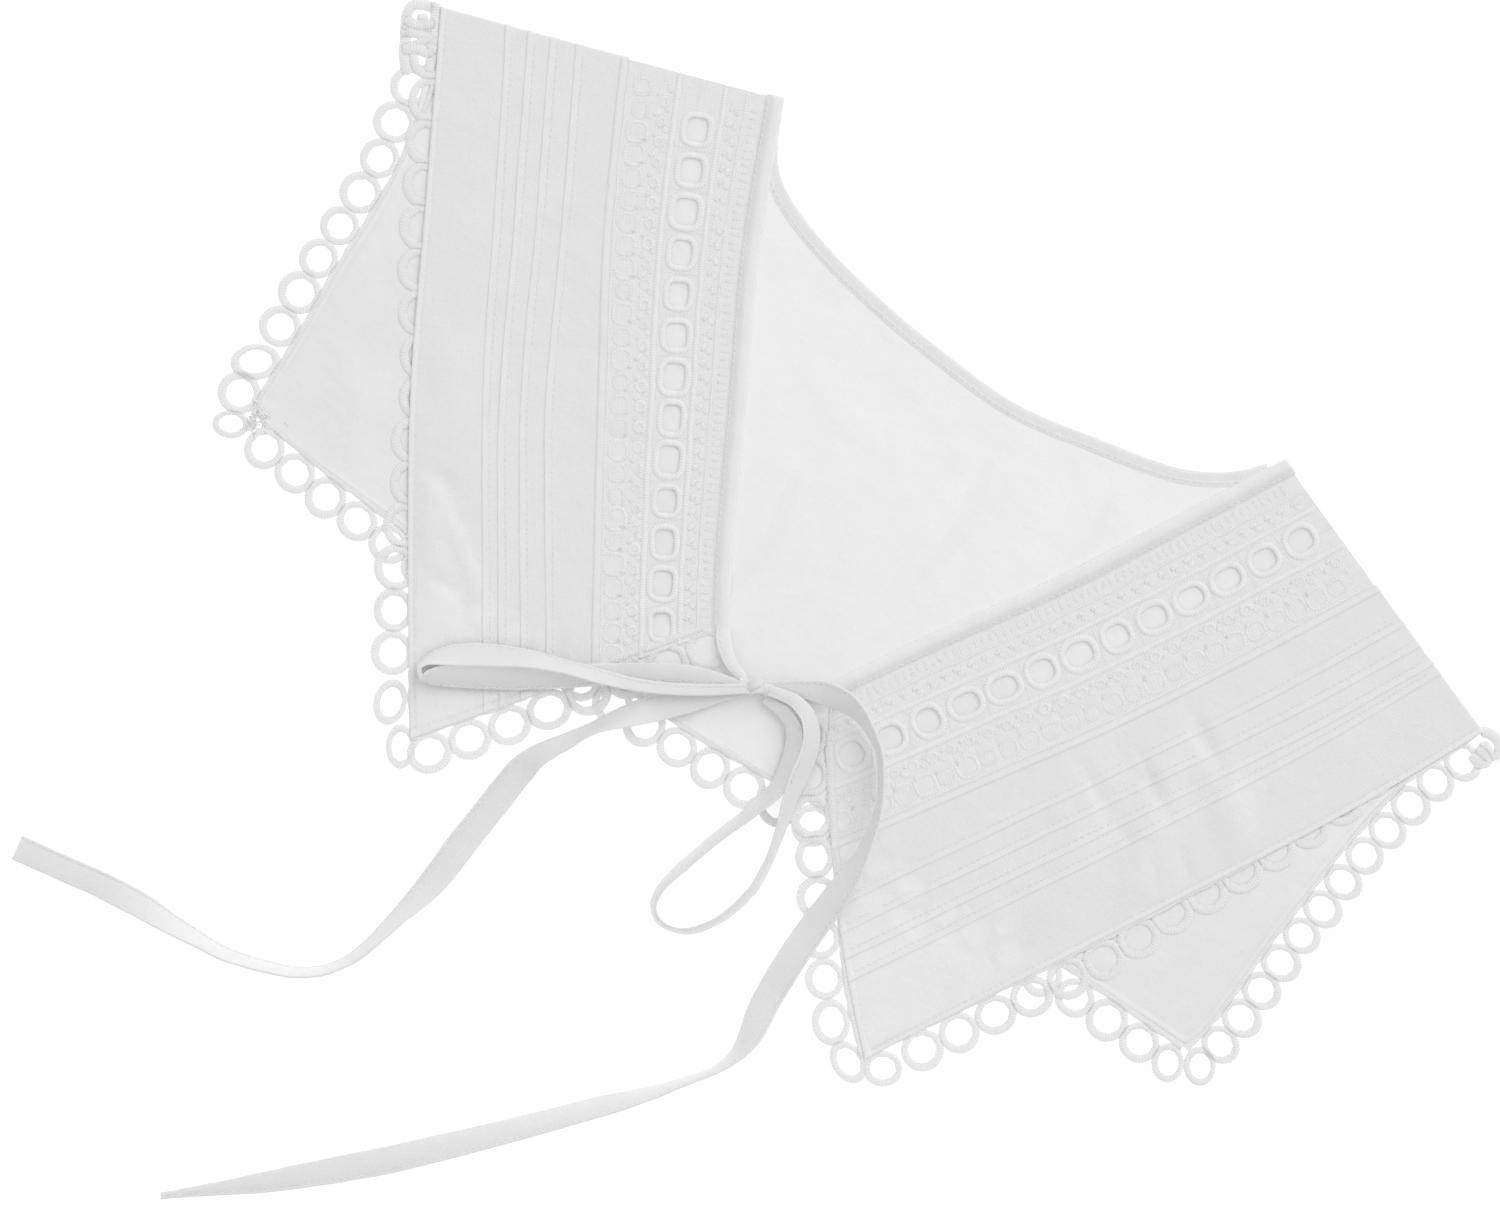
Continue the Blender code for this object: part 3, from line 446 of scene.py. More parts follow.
def fabric(name, colour, roughness, thread, weave_depth, crumple, crumple_depth,
           mottle_and_shade, sheen, ways="XY"):
    """Cotton in one of its makes. thread is the distance from thread to thread in
    metres; crumple is the size of the soft unevenness left by washing. With ways
    X, the threads run only across the piece, as in a satin-stitched cord."""
    material, shader = new_material(
        name, {**COTTON_SOCKETS, "Roughness": roughness, "Sheen Weight": sheen})
    tree = material.node_tree
    surface = add_node(tree, "ShaderNodeUVMap", {"uv_map": CLOTH_MAP}).outputs["UV"]
    place = add_node(tree, "ShaderNodeTexCoord").outputs["Object"]
    weave = 1.0
    for way in ways:
        threads = add_node(tree, "ShaderNodeTexWave", {"bands_direction": way}, {
            "Vector": surface, "Scale": 1.0 / WAVE_REPEATS / thread, "Distortion": 1.2,
            "Detail": 1.0, "Detail Scale": 0.4})
        weave = calculate(tree, "MULTIPLY", threads.outputs["Fac"], weave)
    soft = add_node(tree, "ShaderNodeTexNoise", None, {
        "Vector": place, "Scale": 1.0 / crumple, "Detail": 3.0,
        "Roughness": 0.55}).outputs["Fac"]
    stretched = add_node(tree, "ShaderNodeMapping", None,
                         {"Vector": surface, "Scale": SLUB_STRETCH})
    slubs = add_node(tree, "ShaderNodeTexNoise", None, {
        "Vector": stretched.outputs["Vector"], "Scale": 1.0, "Detail": 2.0}).outputs["Fac"]
    broad = add_node(tree, "ShaderNodeBump", None,
                     {"Height": soft, "Strength": 1.0, "Distance": crumple_depth})
    fine = add_node(tree, "ShaderNodeBump", None, {
        "Height": weave, "Normal": broad.outputs["Normal"], "Strength": 1.0,
        "Distance": weave_depth})
    tree.links.new(fine.outputs["Normal"], shader.inputs["Normal"])
    # Colour: the slubs' random unevenness, and painted shade from the soft bump's noise, lighter on its
    # highs and darker in its lows
    shade = add_node(tree, "ShaderNodeAttribute", {"attribute_name": "tone"}).outputs["Fac"]
    for noise, reach in ((slubs, SLUB_SHARE * mottle_and_shade), (soft, mottle_and_shade)):
        spread = add_node(tree, "ShaderNodeMapRange", None, {
            "Value": noise, "From Min": 0.3, "From Max": 0.7, "To Min": 1.0 - reach,
            "To Max": 1.0 + reach})
        shade = calculate(tree, "MULTIPLY", shade, spread.outputs[0])
    tint = add_node(tree, "ShaderNodeVectorMath", {"operation": "SCALE"},
                    {0: tuple(colour), "Scale": shade})
    tree.links.new(tint.outputs["Vector"], shader.inputs["Base Color"])
    return material


def finishes():
    """The materials, made once."""
    if "cotton_lawn_woven" in bpy.data.materials:
        return bpy.data.materials
    colours = bpy.context.scene.collar_colours
    # Cotton lawn, woven: matt, with a fine even grain and soft washing marks, in its
    # relief and as painted shade in its colour.
    # Its threads lie 0.3 mm apart and are drawn 0.7 mm apart to show.
    fabric("cotton_lawn_woven", colours.cotton, 0.9, 0.0007, 0.00005,
           0.012, 0.0008, 0.012, 0.05)
    # The same cloth from its wrong side, a little lighter: painted backlight, the lit
    # table shining through its one layer.
    fabric("cotton_lawn_wrong_side_painted_backlight", colours.back, 0.92, 0.0007, 0.00002,
           0.014, 0.0009, 0.014, 0.05)
    # Cotton ground of the lace, woven: drawn coarser, with small uneven gaps.
    fabric("lace_ground_woven", colours.lace, 0.9, 0.0011, 0.00006,
           0.0026, 0.0002, 0.015, 0.05)
    # Cotton cord, satin-stitched: threads across the cord, 0.4 mm apart and
    # drawn 0.9 mm apart, catch the light in short ribs.
    fabric("lace_cord_satin_stitched", colours.lace, 0.8, 0.0009, 0.0001,
           0.003, 0.0002, 0.012, 0.08, ways="X")
    # Cotton strip, folded and pressed: denser and flatter than the single cloth.
    fabric("cotton_strip_folded", colours.tie, 0.85, 0.0007, 0.00005,
           0.009, 0.0004, 0.008, 0.05)
    # Cotton sewing thread, twisted: a little smoother than the cloth.
    fabric("cotton_thread_twisted", colours.cotton, 0.75, 0.0006, 0.00006,
           0.003, 0.0001, 0.01, 0.0, ways="X")
    return bpy.data.materials


# Lines in the plane

def smooth_line(rows, step):
    """Points of a smooth curve through the rows, about one every step."""
    rows = np.asarray(rows, float)
    line = []
    for i in range(len(rows) - 1):
        before, start = rows[max(i - 1, 0)], rows[i]
        end, after = rows[i + 1], rows[min(i + 2, len(rows) - 1)]
        pieces = max(1, round(np.linalg.norm(end - start) / step))
        t = np.arange(pieces)[:, None] / pieces
        line.append(0.5 * (2.0 * start + (end - before) * t
                           + (2.0 * before - 5.0 * start + 4.0 * end - after) * t ** 2
                           + (3.0 * start - before - 3.0 * end + after) * t ** 3))
    return np.vstack(line + [rows[-1:]])


def unit(vectors):
    """The vectors with length 1."""
    return vectors / np.maximum(np.linalg.norm(vectors, axis=-1, keepdims=True), 1e-9)


def directions(line, closed=False):
    """Unit direction of a line at each of its points."""
    if closed:
        return unit(np.roll(line, -1, 0) - np.roll(line, 1, 0))
    return unit(np.vstack([line[1:], line[-1:]]) - np.vstack([line[:1], line[:-1]]))


def right_of(direction):
    """Unit vectors to the right of directions in the plane."""
    return np.stack([direction[..., 1], -direction[..., 0]], -1)


def length_along(line):
    """Distance from the line's start to each of its points."""
    return np.concatenate([[0.0], np.cumsum(np.linalg.norm(np.diff(line, axis=0), axis=1))])


def place_along(line, stops):
    """Points of the line at distances from its start."""
    sums = length_along(line)
    return np.stack([np.interp(stops, sums, line[:, k]) for k in range(line.shape[1])], -1)


def ease(t):
    """0 below 0, 1 above 1 and a smooth step between."""
    t = np.clip(t, 0.0, 1.0)
    return t * t * (3.0 - 2.0 * t)


def off_line(x, y, line):
    """Distance from points to a line of segments, and how far along it, 0 to 1."""
    points = np.stack([np.ravel(x), np.ravel(y)], -1)
    line = np.asarray(line, float)
    sums = length_along(line)
    best = np.full(len(points), 1e9)
    where = np.zeros(len(points))
    for a, b, start, end in zip(line, line[1:], sums, sums[1:]):
        run = b - a
        t = np.clip(((points - a) @ run) / max(run @ run, 1e-9), 0.0, 1.0)
        away = np.linalg.norm(points - a - t[:, None] * run, axis=1)
        nearer = away < best
        best = np.where(nearer, away, best)
        where = np.where(nearer, (start + (end - start) * t) / sums[-1], where)
    return best.reshape(np.shape(x)), where.reshape(np.shape(x))


def wobble(t, seed, step, size):
    """A smooth uneven wave of t, with a turn about every step."""
    random = np.random.RandomState(seed)
    count = int(np.max(t) / step) + 4
    knots = random.uniform(-1.0, 1.0, count)
    at = np.asarray(t) / step
    low = np.clip(np.floor(at).astype(int), 0, count - 2)
    share = ease(at - low)
    return size * (knots[low] * (1.0 - share) + knots[low + 1] * share)


# How the layers lie

NECK_LINE = smooth_line(NECKLINE, 4.0)
PANEL_NECK = NECK_LINE + right_of(directions(NECK_LINE)) * BACK_BINDING_WIDTH
BACK_OUTLINE = np.vstack([
    smooth_line(BACK_LEFT_EDGE, 8.0)[:-1], smooth_line(BACK_LOWER_EDGE, 20.0)[:-1],
    smooth_line(BACK_RIGHT_EDGE, 8.0), PANEL_NECK[::-1],
])


def outside_back(x, y):
    """Distance outside the back panel's outline, negative within it."""
    closed = np.vstack([BACK_OUTLINE, BACK_OUTLINE[:1]])
    away = off_line(x, y, closed)[0]
    inside = np.zeros(np.shape(x), bool)
    for a, b in zip(closed, closed[1:]):
        if a[1] == b[1]:
            continue
        crosses = (a[1] > y) != (b[1] > y)
        left = x < (b[0] - a[0]) * (y - a[1]) / (b[1] - a[1]) + a[0]
        inside ^= crosses & left
    return np.where(inside, -away, away)


def folds(layer, x, y):
    """Height of a layer's soft folds and creases."""
    height = np.zeros(np.shape(x))
    for half_width, rise, points in SOFT_FOLDS[layer]:
        away, t = off_line(x, y, points)
        height += rise * (0.35 + 0.65 * np.sin(pi * t)) * np.exp(-(away / half_width) ** 2)
    return height


def over_back(x, y):
    """1 where a layer lies on the back, falling to 0 where it lies on the table."""
    return 1.0 - ease((outside_back(x, y) - DROP_START) / DROP_LENGTH)


def level(side, x, y, from_hem=FAR_FROM_HEM):
    """Height of a front's underside: over the back and its own rings, or dropped
    to the table."""
    x, y = np.asarray(x, float), np.asarray(y, float)
    over_rings = HEM_LIFT * (1.0 - ease((from_hem - HEM_LIFT_START) / HEM_LIFT_LENGTH))
    height = (LAYER_LIFT + over_rings) * over_back(x, y)
    return height + folds(side, x, y) * ease(from_hem / FOLD_FADE)


class Front:
    """Shape of one front: places by share of the way up and distance from the neck."""

    def __init__(self, side):
        self.side = side
        self.fine = smooth_line(FRONT_SECTIONS[side], 3.0)
        sums = length_along(self.fine)
        self.up = sums / sums[-1]
        middle = self.at(self.up, self.lace(self.up, LINK_CENTRE))
        self.middle_sums = length_along(np.stack(middle, -1))
        self.length = self.middle_sums[-1]

    def column(self, up, k):
        """Column k of the front's sections at a share of the way up."""
        return np.interp(up, self.up, self.fine[:, k])

    def width(self, up):
        """From the neck edge to the hem."""
        return np.hypot(self.column(up, 2) - self.column(up, 0),
                        self.column(up, 3) - self.column(up, 1))

    def seam(self, up):
        """From the neck edge to the lace's seam."""
        return self.column(up, 4)

    def lace(self, up, share):
        """Distance from the neck edge at a share of the lace band."""
        return NECK_BINDING_WIDTH + (self.seam(up) - NECK_BINDING_WIDTH) * share

    def at(self, up, from_neck):
        """x and y at a share of the way up and a distance from the neck edge."""
        neck_x, neck_y = self.column(up, 0), self.column(up, 1)
        run_x, run_y = self.column(up, 2) - neck_x, self.column(up, 3) - neck_y
        long = np.hypot(run_x, run_y)
        share = from_neck / long
        bow = self.column(up, 5) * 4.0 * share * (1.0 - share) / long
        return neck_x + run_x * share + run_y * bow, neck_y + run_y * share - run_x * bow

    def up_at(self, along):
        """Share of the way up at a distance along the lace's middle."""
        return np.interp(along, self.middle_sums, self.up)

    def on_lace(self, along, share):
        """Points x, y at distances along the lace's middle and shares of its width."""
        up = self.up_at(along)
        return np.stack(self.at(up, self.lace(up, share)), -1)

    def lace_line(self, share, step=1.5):
        """Points x, y along the lace at a share of its width."""
        return self.on_lace(np.arange(0.0, self.length + 0.01, step), share)


FRONTS = {side: Front(side) for side in SIDES}


# Meshes

def new_object(name, data):
    """A new object in the scene."""
    obj = bpy.data.objects.new(name, data)
    bpy.context.scene.collection.objects.link(obj)
    return obj


class Pile:
    """Vertices, faces, surface places and tones of one piece, in millimetres."""

    def __init__(self):
        self.verts, self.faces, self.places, self.tones = [], [], [], []
        self.count = 0

    def add(self, verts, faces, places, tones):
        """Add a closed form; its faces count its own vertices from 0."""
        verts = np.asarray(verts, float).reshape(-1, 3)
        self.verts.append(verts)
        self.faces += [tuple(int(i) + self.count for i in face) for face in faces]
        self.places.append(np.asarray(places, float).reshape(-1, 2))
        self.tones.append(np.ravel(tones))
        self.count += len(verts)

    def piece(self, name, material):
        """The piece as an object in metres, its faces outwards."""
        mesh = bpy.data.meshes.new(name)
        mesh.from_pydata((np.vstack(self.verts) * MM).tolist(), [], self.faces)
        bm = bmesh.new()
        bm.from_mesh(mesh)
        bmesh.ops.recalc_face_normals(bm, faces=bm.faces)
        bm.to_mesh(mesh)
        bm.free()
        finish_mesh(mesh, np.vstack(self.places) * MM, np.concatenate(self.tones))
        mesh.materials.append(material)
        return new_object(name, mesh)


def finish_mesh(mesh, places, tones):
    """Give a mesh its surface map, tones and smooth faces."""
    corner = np.zeros(len(mesh.loops), int)
    mesh.loops.foreach_get("vertex_index", corner)
    surface = mesh.uv_layers.new(name=CLOTH_MAP)
    surface.data.foreach_set("uv", places[corner].astype(np.float32).ravel())
    # The tone carries the pieces' painted light and shade as well as their uneven colour
    tone = mesh.attributes.new("tone", "FLOAT", "POINT")
    tone.data.foreach_set("value", np.asarray(tones, np.float32))
    mesh.shade_smooth()
    mesh.set_sharp_from_angle(angle=radians(60.0))


def grid_faces(rows, columns, start=0, closed=False):
    """Quads of a grid; closed joins its last column to its first."""
    index = np.arange(rows * columns).reshape(rows, columns) + start
    if closed:
        index = np.hstack([index, index[:, :1]])
    return np.stack([index[:-1, :-1], index[:-1, 1:], index[1:, 1:], index[1:, :-1]],
                    -1).reshape(-1, 4).tolist()


def pairs(along, around):
    """Each of the first numbers with each of the second, as rows of pairs."""
    return np.stack(np.broadcast_arrays(along[:, None], around[None]), -1)


def tube_faces(count, sides, closed=False):
    """Quads round a tube of count rings, capped or joined at its ends."""
    last = (count - 1) * sides
    if closed:
        ends = [(last + k, last + (k + 1) % sides, (k + 1) % sides, k) for k in range(sides)]
    else:
        ends = [tuple(range(sides)), tuple(range(last + sides - 1, last - 1, -1))]
    return grid_faces(count, sides, closed=True) + ends


def add_shell(pile, middle, thickness, rise, places, tones):
    """A closed sheet on both sides of a grid of points; rise lifts its upper side."""
    rows, columns = middle.shape[:2]
    across_rows = np.gradient(middle, axis=0)
    across_columns = np.gradient(middle, axis=1)
    normal = unit(np.cross(across_columns, across_rows))
    if normal[rows // 2, columns // 2, 2] < 0.0:
        normal = -normal
    high = middle + normal * (0.5 * thickness + rise)[..., None]
    low = middle - normal * 0.5 * thickness
    count = rows * columns
    faces = grid_faces(rows, columns)
    faces += [face[::-1] for face in grid_faces(rows, columns, count)]
    index = np.arange(count).reshape(rows, columns)
    rim = np.concatenate([index[0, :-1], index[:-1, -1], index[-1, :0:-1], index[:0:-1, 0]])
    faces += [(a, b, b + count, a + count) for a, b in zip(rim, np.roll(rim, -1))]
    verts = np.concatenate([high.reshape(-1, 3), low.reshape(-1, 3)])
    tones = np.broadcast_to(tones, (rows, columns)).ravel()
    pile.add(verts, faces, np.concatenate([places.reshape(-1, 2)] * 2),
             np.concatenate([tones, tones]))


def add_tube(pile, line, half_wide, half_high, sides=8, closed=False, tones=1.0):
    """A cord along a line, wider than it is high where the sizes say so."""
    line = np.asarray(line, float)
    count = len(line)
    run = directions(line, closed)
    side = unit(np.cross(run, (0.0, 0.0, 1.0)))
    up = np.cross(side, run)
    wide = np.broadcast_to(half_wide, (count,))
    high = np.broadcast_to(half_high, (count,))
    turn = 2.0 * pi * np.arange(sides) / sides
    verts = (line[:, None]
             + side[:, None] * (wide[:, None] * np.cos(turn))[..., None]
             + up[:, None] * (high[:, None] * np.sin(turn))[..., None])
    sums = length_along(line)
    if closed:
        # The map runs out and back, so that it has no jump where the cord closes
        sums = np.minimum(sums, sums[-1] + sums[1] - sums)
    pile.add(verts, tube_faces(count, sides, closed),
             pairs(sums, np.abs(turn - pi) * np.mean(wide)),
             np.repeat(np.broadcast_to(tones, (count,)), sides))


def rounded(count, low):
    """Sizes along a cord that closes at both ends."""
    sizes = np.ones(count)
    sizes[0] = sizes[-1] = low
    return sizes


def with_height(line, height):
    """Points x, y, z from a line in the plane."""
    return np.column_stack([line[:, :2], np.broadcast_to(height, (len(line),))])


def use(piece, slot, *nodes):
    """Let a piece move with the collar and hide the CAD parts that it stands for. slot is not used."""
    if not piece.data.polygons:
        raise RuntimeError(piece.name + " has no faces")
    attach(piece, "root")
    if nodes:
        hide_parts(*nodes)
    return piece


# Repeats, by Geometry Nodes

def repeat_tree():
    """Tree that sets a motif at marked points, turned and stretched as they say."""
    found = bpy.data.node_groups.get("repeat_at_marks")
    if found:
        return found
    tree = bpy.data.node_groups.new("repeat_at_marks", "GeometryNodeTree")
    for name, kind in (("Geometry", "Geometry"), ("Motif", "Object"), ("Finish", "Material"),
                       ("Unevenness", "Float"), ("Turn", "Float"), ("Seed", "Int")):
        tree.interface.new_socket(name, in_out="INPUT", socket_type="NodeSocket" + kind)
    tree.interface.new_socket("Geometry", in_out="OUTPUT", socket_type="NodeSocketGeometry")
    given = add_node(tree, "NodeGroupInput").outputs

    def mark(name, kind):
        return add_node(tree, "GeometryNodeInputNamedAttribute", {"data_type": kind},
                        {"Name": name}).outputs["Attribute"]

    def between(low, high, seed):
        return add_node(tree, "FunctionNodeRandomValue", {"data_type": "FLOAT"},
                        {2: low, 3: high, "Seed": seed}).outputs[1]

    size = between(calculate(tree, "SUBTRACT", 1.0, given["Unevenness"]),
                   calculate(tree, "ADD", 1.0, given["Unevenness"]), given["Seed"])
    sway = between(calculate(tree, "MULTIPLY", given["Turn"], -1.0), given["Turn"],
                   calculate(tree, "ADD", given["Seed"], 7.0))
    angle = calculate(tree, "ADD", mark("turn", "FLOAT"), sway)
    euler = add_node(tree, "ShaderNodeCombineXYZ", None, {"Z": angle})
    rotation = add_node(tree, "FunctionNodeEulerToRotation", None, {"Euler": euler.outputs[0]})
    scale = add_node(tree, "ShaderNodeVectorMath", {"operation": "SCALE"},
                     {0: mark("stretch", "FLOAT_VECTOR"), "Scale": size})
    motif = add_node(tree, "GeometryNodeObjectInfo", None, {"Object": given["Motif"]})
    put = add_node(tree, "GeometryNodeInstanceOnPoints", None, {
        "Points": given["Geometry"], "Instance": motif.outputs["Geometry"],
        "Rotation": rotation.outputs[0], "Scale": scale.outputs[0]})
    real = add_node(tree, "GeometryNodeRealizeInstances", None, {"Geometry": put.outputs[0]})
    paint = add_node(tree, "GeometryNodeSetMaterial", None,
                     {"Geometry": real.outputs[0], "Material": given["Finish"]})
    add_node(tree, "NodeGroupOutput", None, {"Geometry": paint.outputs[0]})
    return tree


def repeat(name, motif, material, marks, turns, stretches=None, uneven=0.0, sway=0.0,
           seed=1):
    """A plain mesh object of the motif at each mark, in metres."""
    marks = np.asarray(marks, float)
    if marks.shape[1] == 2:
        marks = with_height(marks, 0.0)
    if stretches is None:
        stretches = np.ones((len(marks), 3))
    mesh = bpy.data.meshes.new(name)
    mesh.from_pydata((marks * MM).tolist(), [], [])
    for key, kind, field, values in (("turn", "FLOAT", "value", turns),
                                     ("stretch", "FLOAT_VECTOR", "vector", stretches)):
        layer = mesh.attributes.new(key, kind, "POINT")
        layer.data.foreach_set(field, np.asarray(values, np.float32).ravel())
    guide = new_object(name + "_marks", mesh)
    modifier = guide.modifiers.new("repeat", "NODES")
    modifier.node_group = repeat_tree()
    given = {"Motif": motif, "Finish": material, "Unevenness": uneven, "Turn": sway,
             "Seed": seed}
    for item in modifier.node_group.interface.items_tree:
        if item.in_out == "INPUT" and item.name in given:
            modifier[item.identifier] = given[item.name]
    graph = bpy.context.evaluated_depsgraph_get()
    made = bpy.data.meshes.new_from_object(guide.evaluated_get(graph))
    made.name = name
    made.shade_smooth()
    bpy.data.objects.remove(guide, do_unlink=True)
    return new_object(name, made)


def drop_motif(motif):
    """Remove a motif that was only an instance's source."""
    bpy.data.objects.remove(motif, do_unlink=True)


def drape(piece, side, over, low=0.0, from_hem=FAR_FROM_HEM):
    """Lift a flat piece onto a front's upper side, or to a height over the table."""
    mesh = piece.data
    places = np.zeros(len(mesh.vertices) * 3)
    mesh.vertices.foreach_get("co", places)
    places = places.reshape(-1, 3) / MM
    if side:
        places[:, 2] += level(side, places[:, 0], places[:, 1], from_hem)
    places[:, 2] = np.maximum(places[:, 2] + over, low)
    mesh.vertices.foreach_set("co", (places * MM).ravel())
    mesh.update()
    return piece


def joined(name, pieces):
    """Several mesh objects as one."""
    with bpy.context.temp_override(active_object=pieces[0], selected_objects=pieces,
                                   selected_editable_objects=pieces):
        bpy.ops.object.join()
    pieces[0].name = pieces[0].data.name = name
    return pieces[0]


def marks_on(line, stops):
    """Places on a line and its direction there as an angle."""
    places = place_along(line, stops)
    ahead = place_along(line, np.asarray(stops) + 0.5)
    behind = place_along(line, np.asarray(stops) - 0.5)
    run = ahead - behind
    return places, np.arctan2(run[:, 1], run[:, 0])


# Stage. The camera looks straight down, from a place x, y in millimetres; the
# width that it sees and the table's half width are metres.

CAMERA_PLACE = (-16.7, -21.1)
CAMERA_TURN = 35.0
SENSOR_WIDTH = 36.0
SEEN_WIDTH = 0.5
SOFTBOX_SPREAD = 50.0
SOFTBOX_TURN = (-46.0, 7.0, 0.0)
TABLE_HALF = 2.5
WHITE = (1.0, 1.0, 1.0, 1.0)


class COLLAR_OT_stage(Operator):
    """Make the camera, the backlit table and the light"""
    bl_idname = "collar.stage"
    bl_label = "Stage"

    def execute(self, context):
        scene = context.scene
        stage = scene.collar_stage
        scene.view_settings.view_transform = "Standard"
        camera_data = bpy.data.cameras.new("camera")
        camera_data.sensor_width = SENSOR_WIDTH
        camera_data.lens = SENSOR_WIDTH * stage.camera_height / SEEN_WIDTH
        camera = new_object("camera", camera_data)
        camera.location = (CAMERA_PLACE[0] * MM, CAMERA_PLACE[1] * MM, stage.camera_height)
        camera.rotation_euler = (0.0, 0.0, radians(CAMERA_TURN))
        scene.camera = camera
        scene.world = bpy.data.worlds.new("studio")
        scene.world.use_nodes = True
        sky = scene.world.node_tree.nodes["Background"]
        sky.inputs["Color"].default_value = WHITE
        sky.inputs["Strength"].default_value = stage.sky
        lamp = bpy.data.lights.new("softbox", "SUN")
        lamp.energy = stage.key
        lamp.angle = radians(SOFTBOX_SPREAD)
        softbox = new_object("softbox", lamp)
        softbox.rotation_euler = [radians(turn) for turn in SOFTBOX_TURN]
        table = bpy.data.meshes.new("table")
        table.from_pydata([(x * TABLE_HALF, y * TABLE_HALF, 0.0) for x, y in
                           ((-1, -1), (1, -1), (1, 1), (-1, 1))], [], [(0, 1, 2, 3)])
        # Acrylic sheet, cast and backlit: even white with no grain of its own
        acrylic, _ = new_material("acrylic_backlit", {
            "Base Color": (0.9, 0.9, 0.9, 1.0), "Roughness": 0.6,
            "Specular IOR Level": 0.2, "Emission Color": WHITE,
            "Emission Strength": stage.table_glow})
        table.materials.append(acrylic)
        new_object("table", table)
        return {"FINISHED"}


# Ties

def tie_section(width, side_edge):
    """Corners of a folded strip's section: across, up and tone. The tone is painted
    light: a little lighter on the upper face near the edges, with painted shade in the
    seam's groove.
    """
    half, thick = 0.5 * width, TIE_HALF_HIGH
    seam = side_edge * (half - SEAM_FROM_EDGE)
    return np.asarray([
        (-half, 0.0, 1.0), (-half + 0.18, thick * 0.8, 1.02), (-half + 0.6, thick, 1.02),
        (seam - 0.25, thick, 1.0), (seam, thick - 0.12, 0.95), (seam + 0.25, thick, 1.01),
        (half - 0.6, thick, 1.02), (half - 0.18, thick * 0.8, 1.02), (half, 0.0, 1.0),
        (half - 0.18, -thick * 0.8, 1.0), (half - 0.8, -thick, 1.0),
        (-half + 0.8, -thick, 1.0), (-half + 0.18, -thick * 0.8, 1.0)])


def tie_frames(name):
    """Centre line, width direction and face direction of a tie, and its widths."""
    rows = smooth_line(TIE_ROUTES[name], TIE_STEP)
    left = -right_of(directions(rows[:, :2]))
    tilt, width = np.radians(rows[:, 3]), rows[:, 4]
    height = rows[:, 2] + (width * np.sin(tilt) + TIE_THICKNESS * np.cos(tilt)) / 2.0
    wide = np.column_stack([left * np.cos(tilt)[:, None], np.sin(tilt)])
    face = np.column_stack([-left * np.sin(tilt)[:, None], np.cos(tilt)])
    return with_height(rows, height), wide, face, width


def make_tie(name, material, seam_side, seed):
    """One stretch of the tie strip, with its stitched edge and small puckers."""
    centre, wide, face, width = tie_frames(name)
    sums = length_along(centre)
    ripple = wobble(sums, seed, 7.0, 0.22)
    pucker = wobble(sums, seed + 1, 2.6, 0.07)
    verts, tones, places = [], [], []
    for i, place in enumerate(centre):
        across, up, tone = tie_section(
            max(width[i] + ripple[i] * 0.8, LEAST_TIE_WIDTH), seam_side).T
        lift = up + ripple[i] * (across / width[i]) * 1.2 + pucker[i] * np.cos(across * 1.3)
        loop = place + wide[i] * across[:, None] + face[i] * lift[:, None]
        loop[:, 2] = np.maximum(loop[:, 2], 0.02)
        verts.append(loop)
        tones.append(tone)
        places.append(with_height(np.full((len(across), 1), sums[i]), across))
    pile = Pile()
    pile.add(verts, tube_faces(len(verts), len(verts[0])), places, np.concatenate(tones))
    return pile.piece(name + "_strip", material), centre


def make_knot(material):
    """The bow's small knot: one strand over the others and the turn round them."""
    pile = Pile()
    centre = np.asarray(KNOT_CENTRE)
    turn = 2.0 * pi * np.arange(KNOT_STEPS) / KNOT_STEPS
    angles = 2.0 * pi * np.arange(KNOT_SIDES) / KNOT_SIDES
    for offset, half_wide, half_high, across_radius, up_radius, lean in KNOT_TURNS:
        axis = np.asarray([cos(lean), sin(lean), 0.0])
        across = np.asarray([-sin(lean), cos(lean), 0.0])
        out = (across * (np.cos(turn) * across_radius)[:, None]
               + np.asarray([0.0, 0.0, 1.0]) * (np.sin(turn) * up_radius)[:, None])
        ring = centre + axis * offset + out
        swell = 1.0 + 0.18 * np.sin(turn * 2.0 + offset)
        verts = (ring[:, None] + axis * (np.cos(angles) * half_wide)[None, :, None]
                 * swell[:, None, None]
                 + unit(out)[:, None] * (np.sin(angles) * half_high)[None, :, None])
        places = pairs(turn * 3.0, angles * half_wide)
        # Painted light: each turn's strand is a little lighter on one side and darker on the other
        tones = np.broadcast_to(0.97 + 0.03 * np.cos(angles), (KNOT_STEPS, KNOT_SIDES))
        pile.add(verts, tube_faces(KNOT_STEPS, KNOT_SIDES, True), places, tones)
    t = np.linspace(0.0, 1.0, 9)
    core = centre + np.stack([10.4 * t - 5.2, 4.0 * t - 2.0, 0.4 * np.sin(pi * t) - 0.5], -1)
    swell = 0.75 + 0.25 * np.abs(2.0 * t - 1.0)
    add_tube(pile, core, 2.3 * swell, 1.9 * swell, 12)
    return pile.piece("tie_knot_wraps", material)


class COLLAR_OT_ties(Operator):
    """Make the ties: two leads, the knot, two loops and two tails"""
    bl_idname = "collar.ties"
    bl_label = "Ties"

    def execute(self, context):
        strip = finishes()["cotton_strip_folded"]
        binding = finishes()["cotton_lawn_woven"]
        use(make_knot(strip), "tie", "tie_knot")
        for seed, name in enumerate(TIE_ROUTES):
            cloth = binding if name.startswith("tie_lead") else strip
            piece, centre = make_tie(name, cloth, 1 if seed % 2 else -1, 20 + 3 * seed)
            use(piece, "tie", name)
            if name not in TIE_CORDS:
                continue
        return {"FINISHED"}


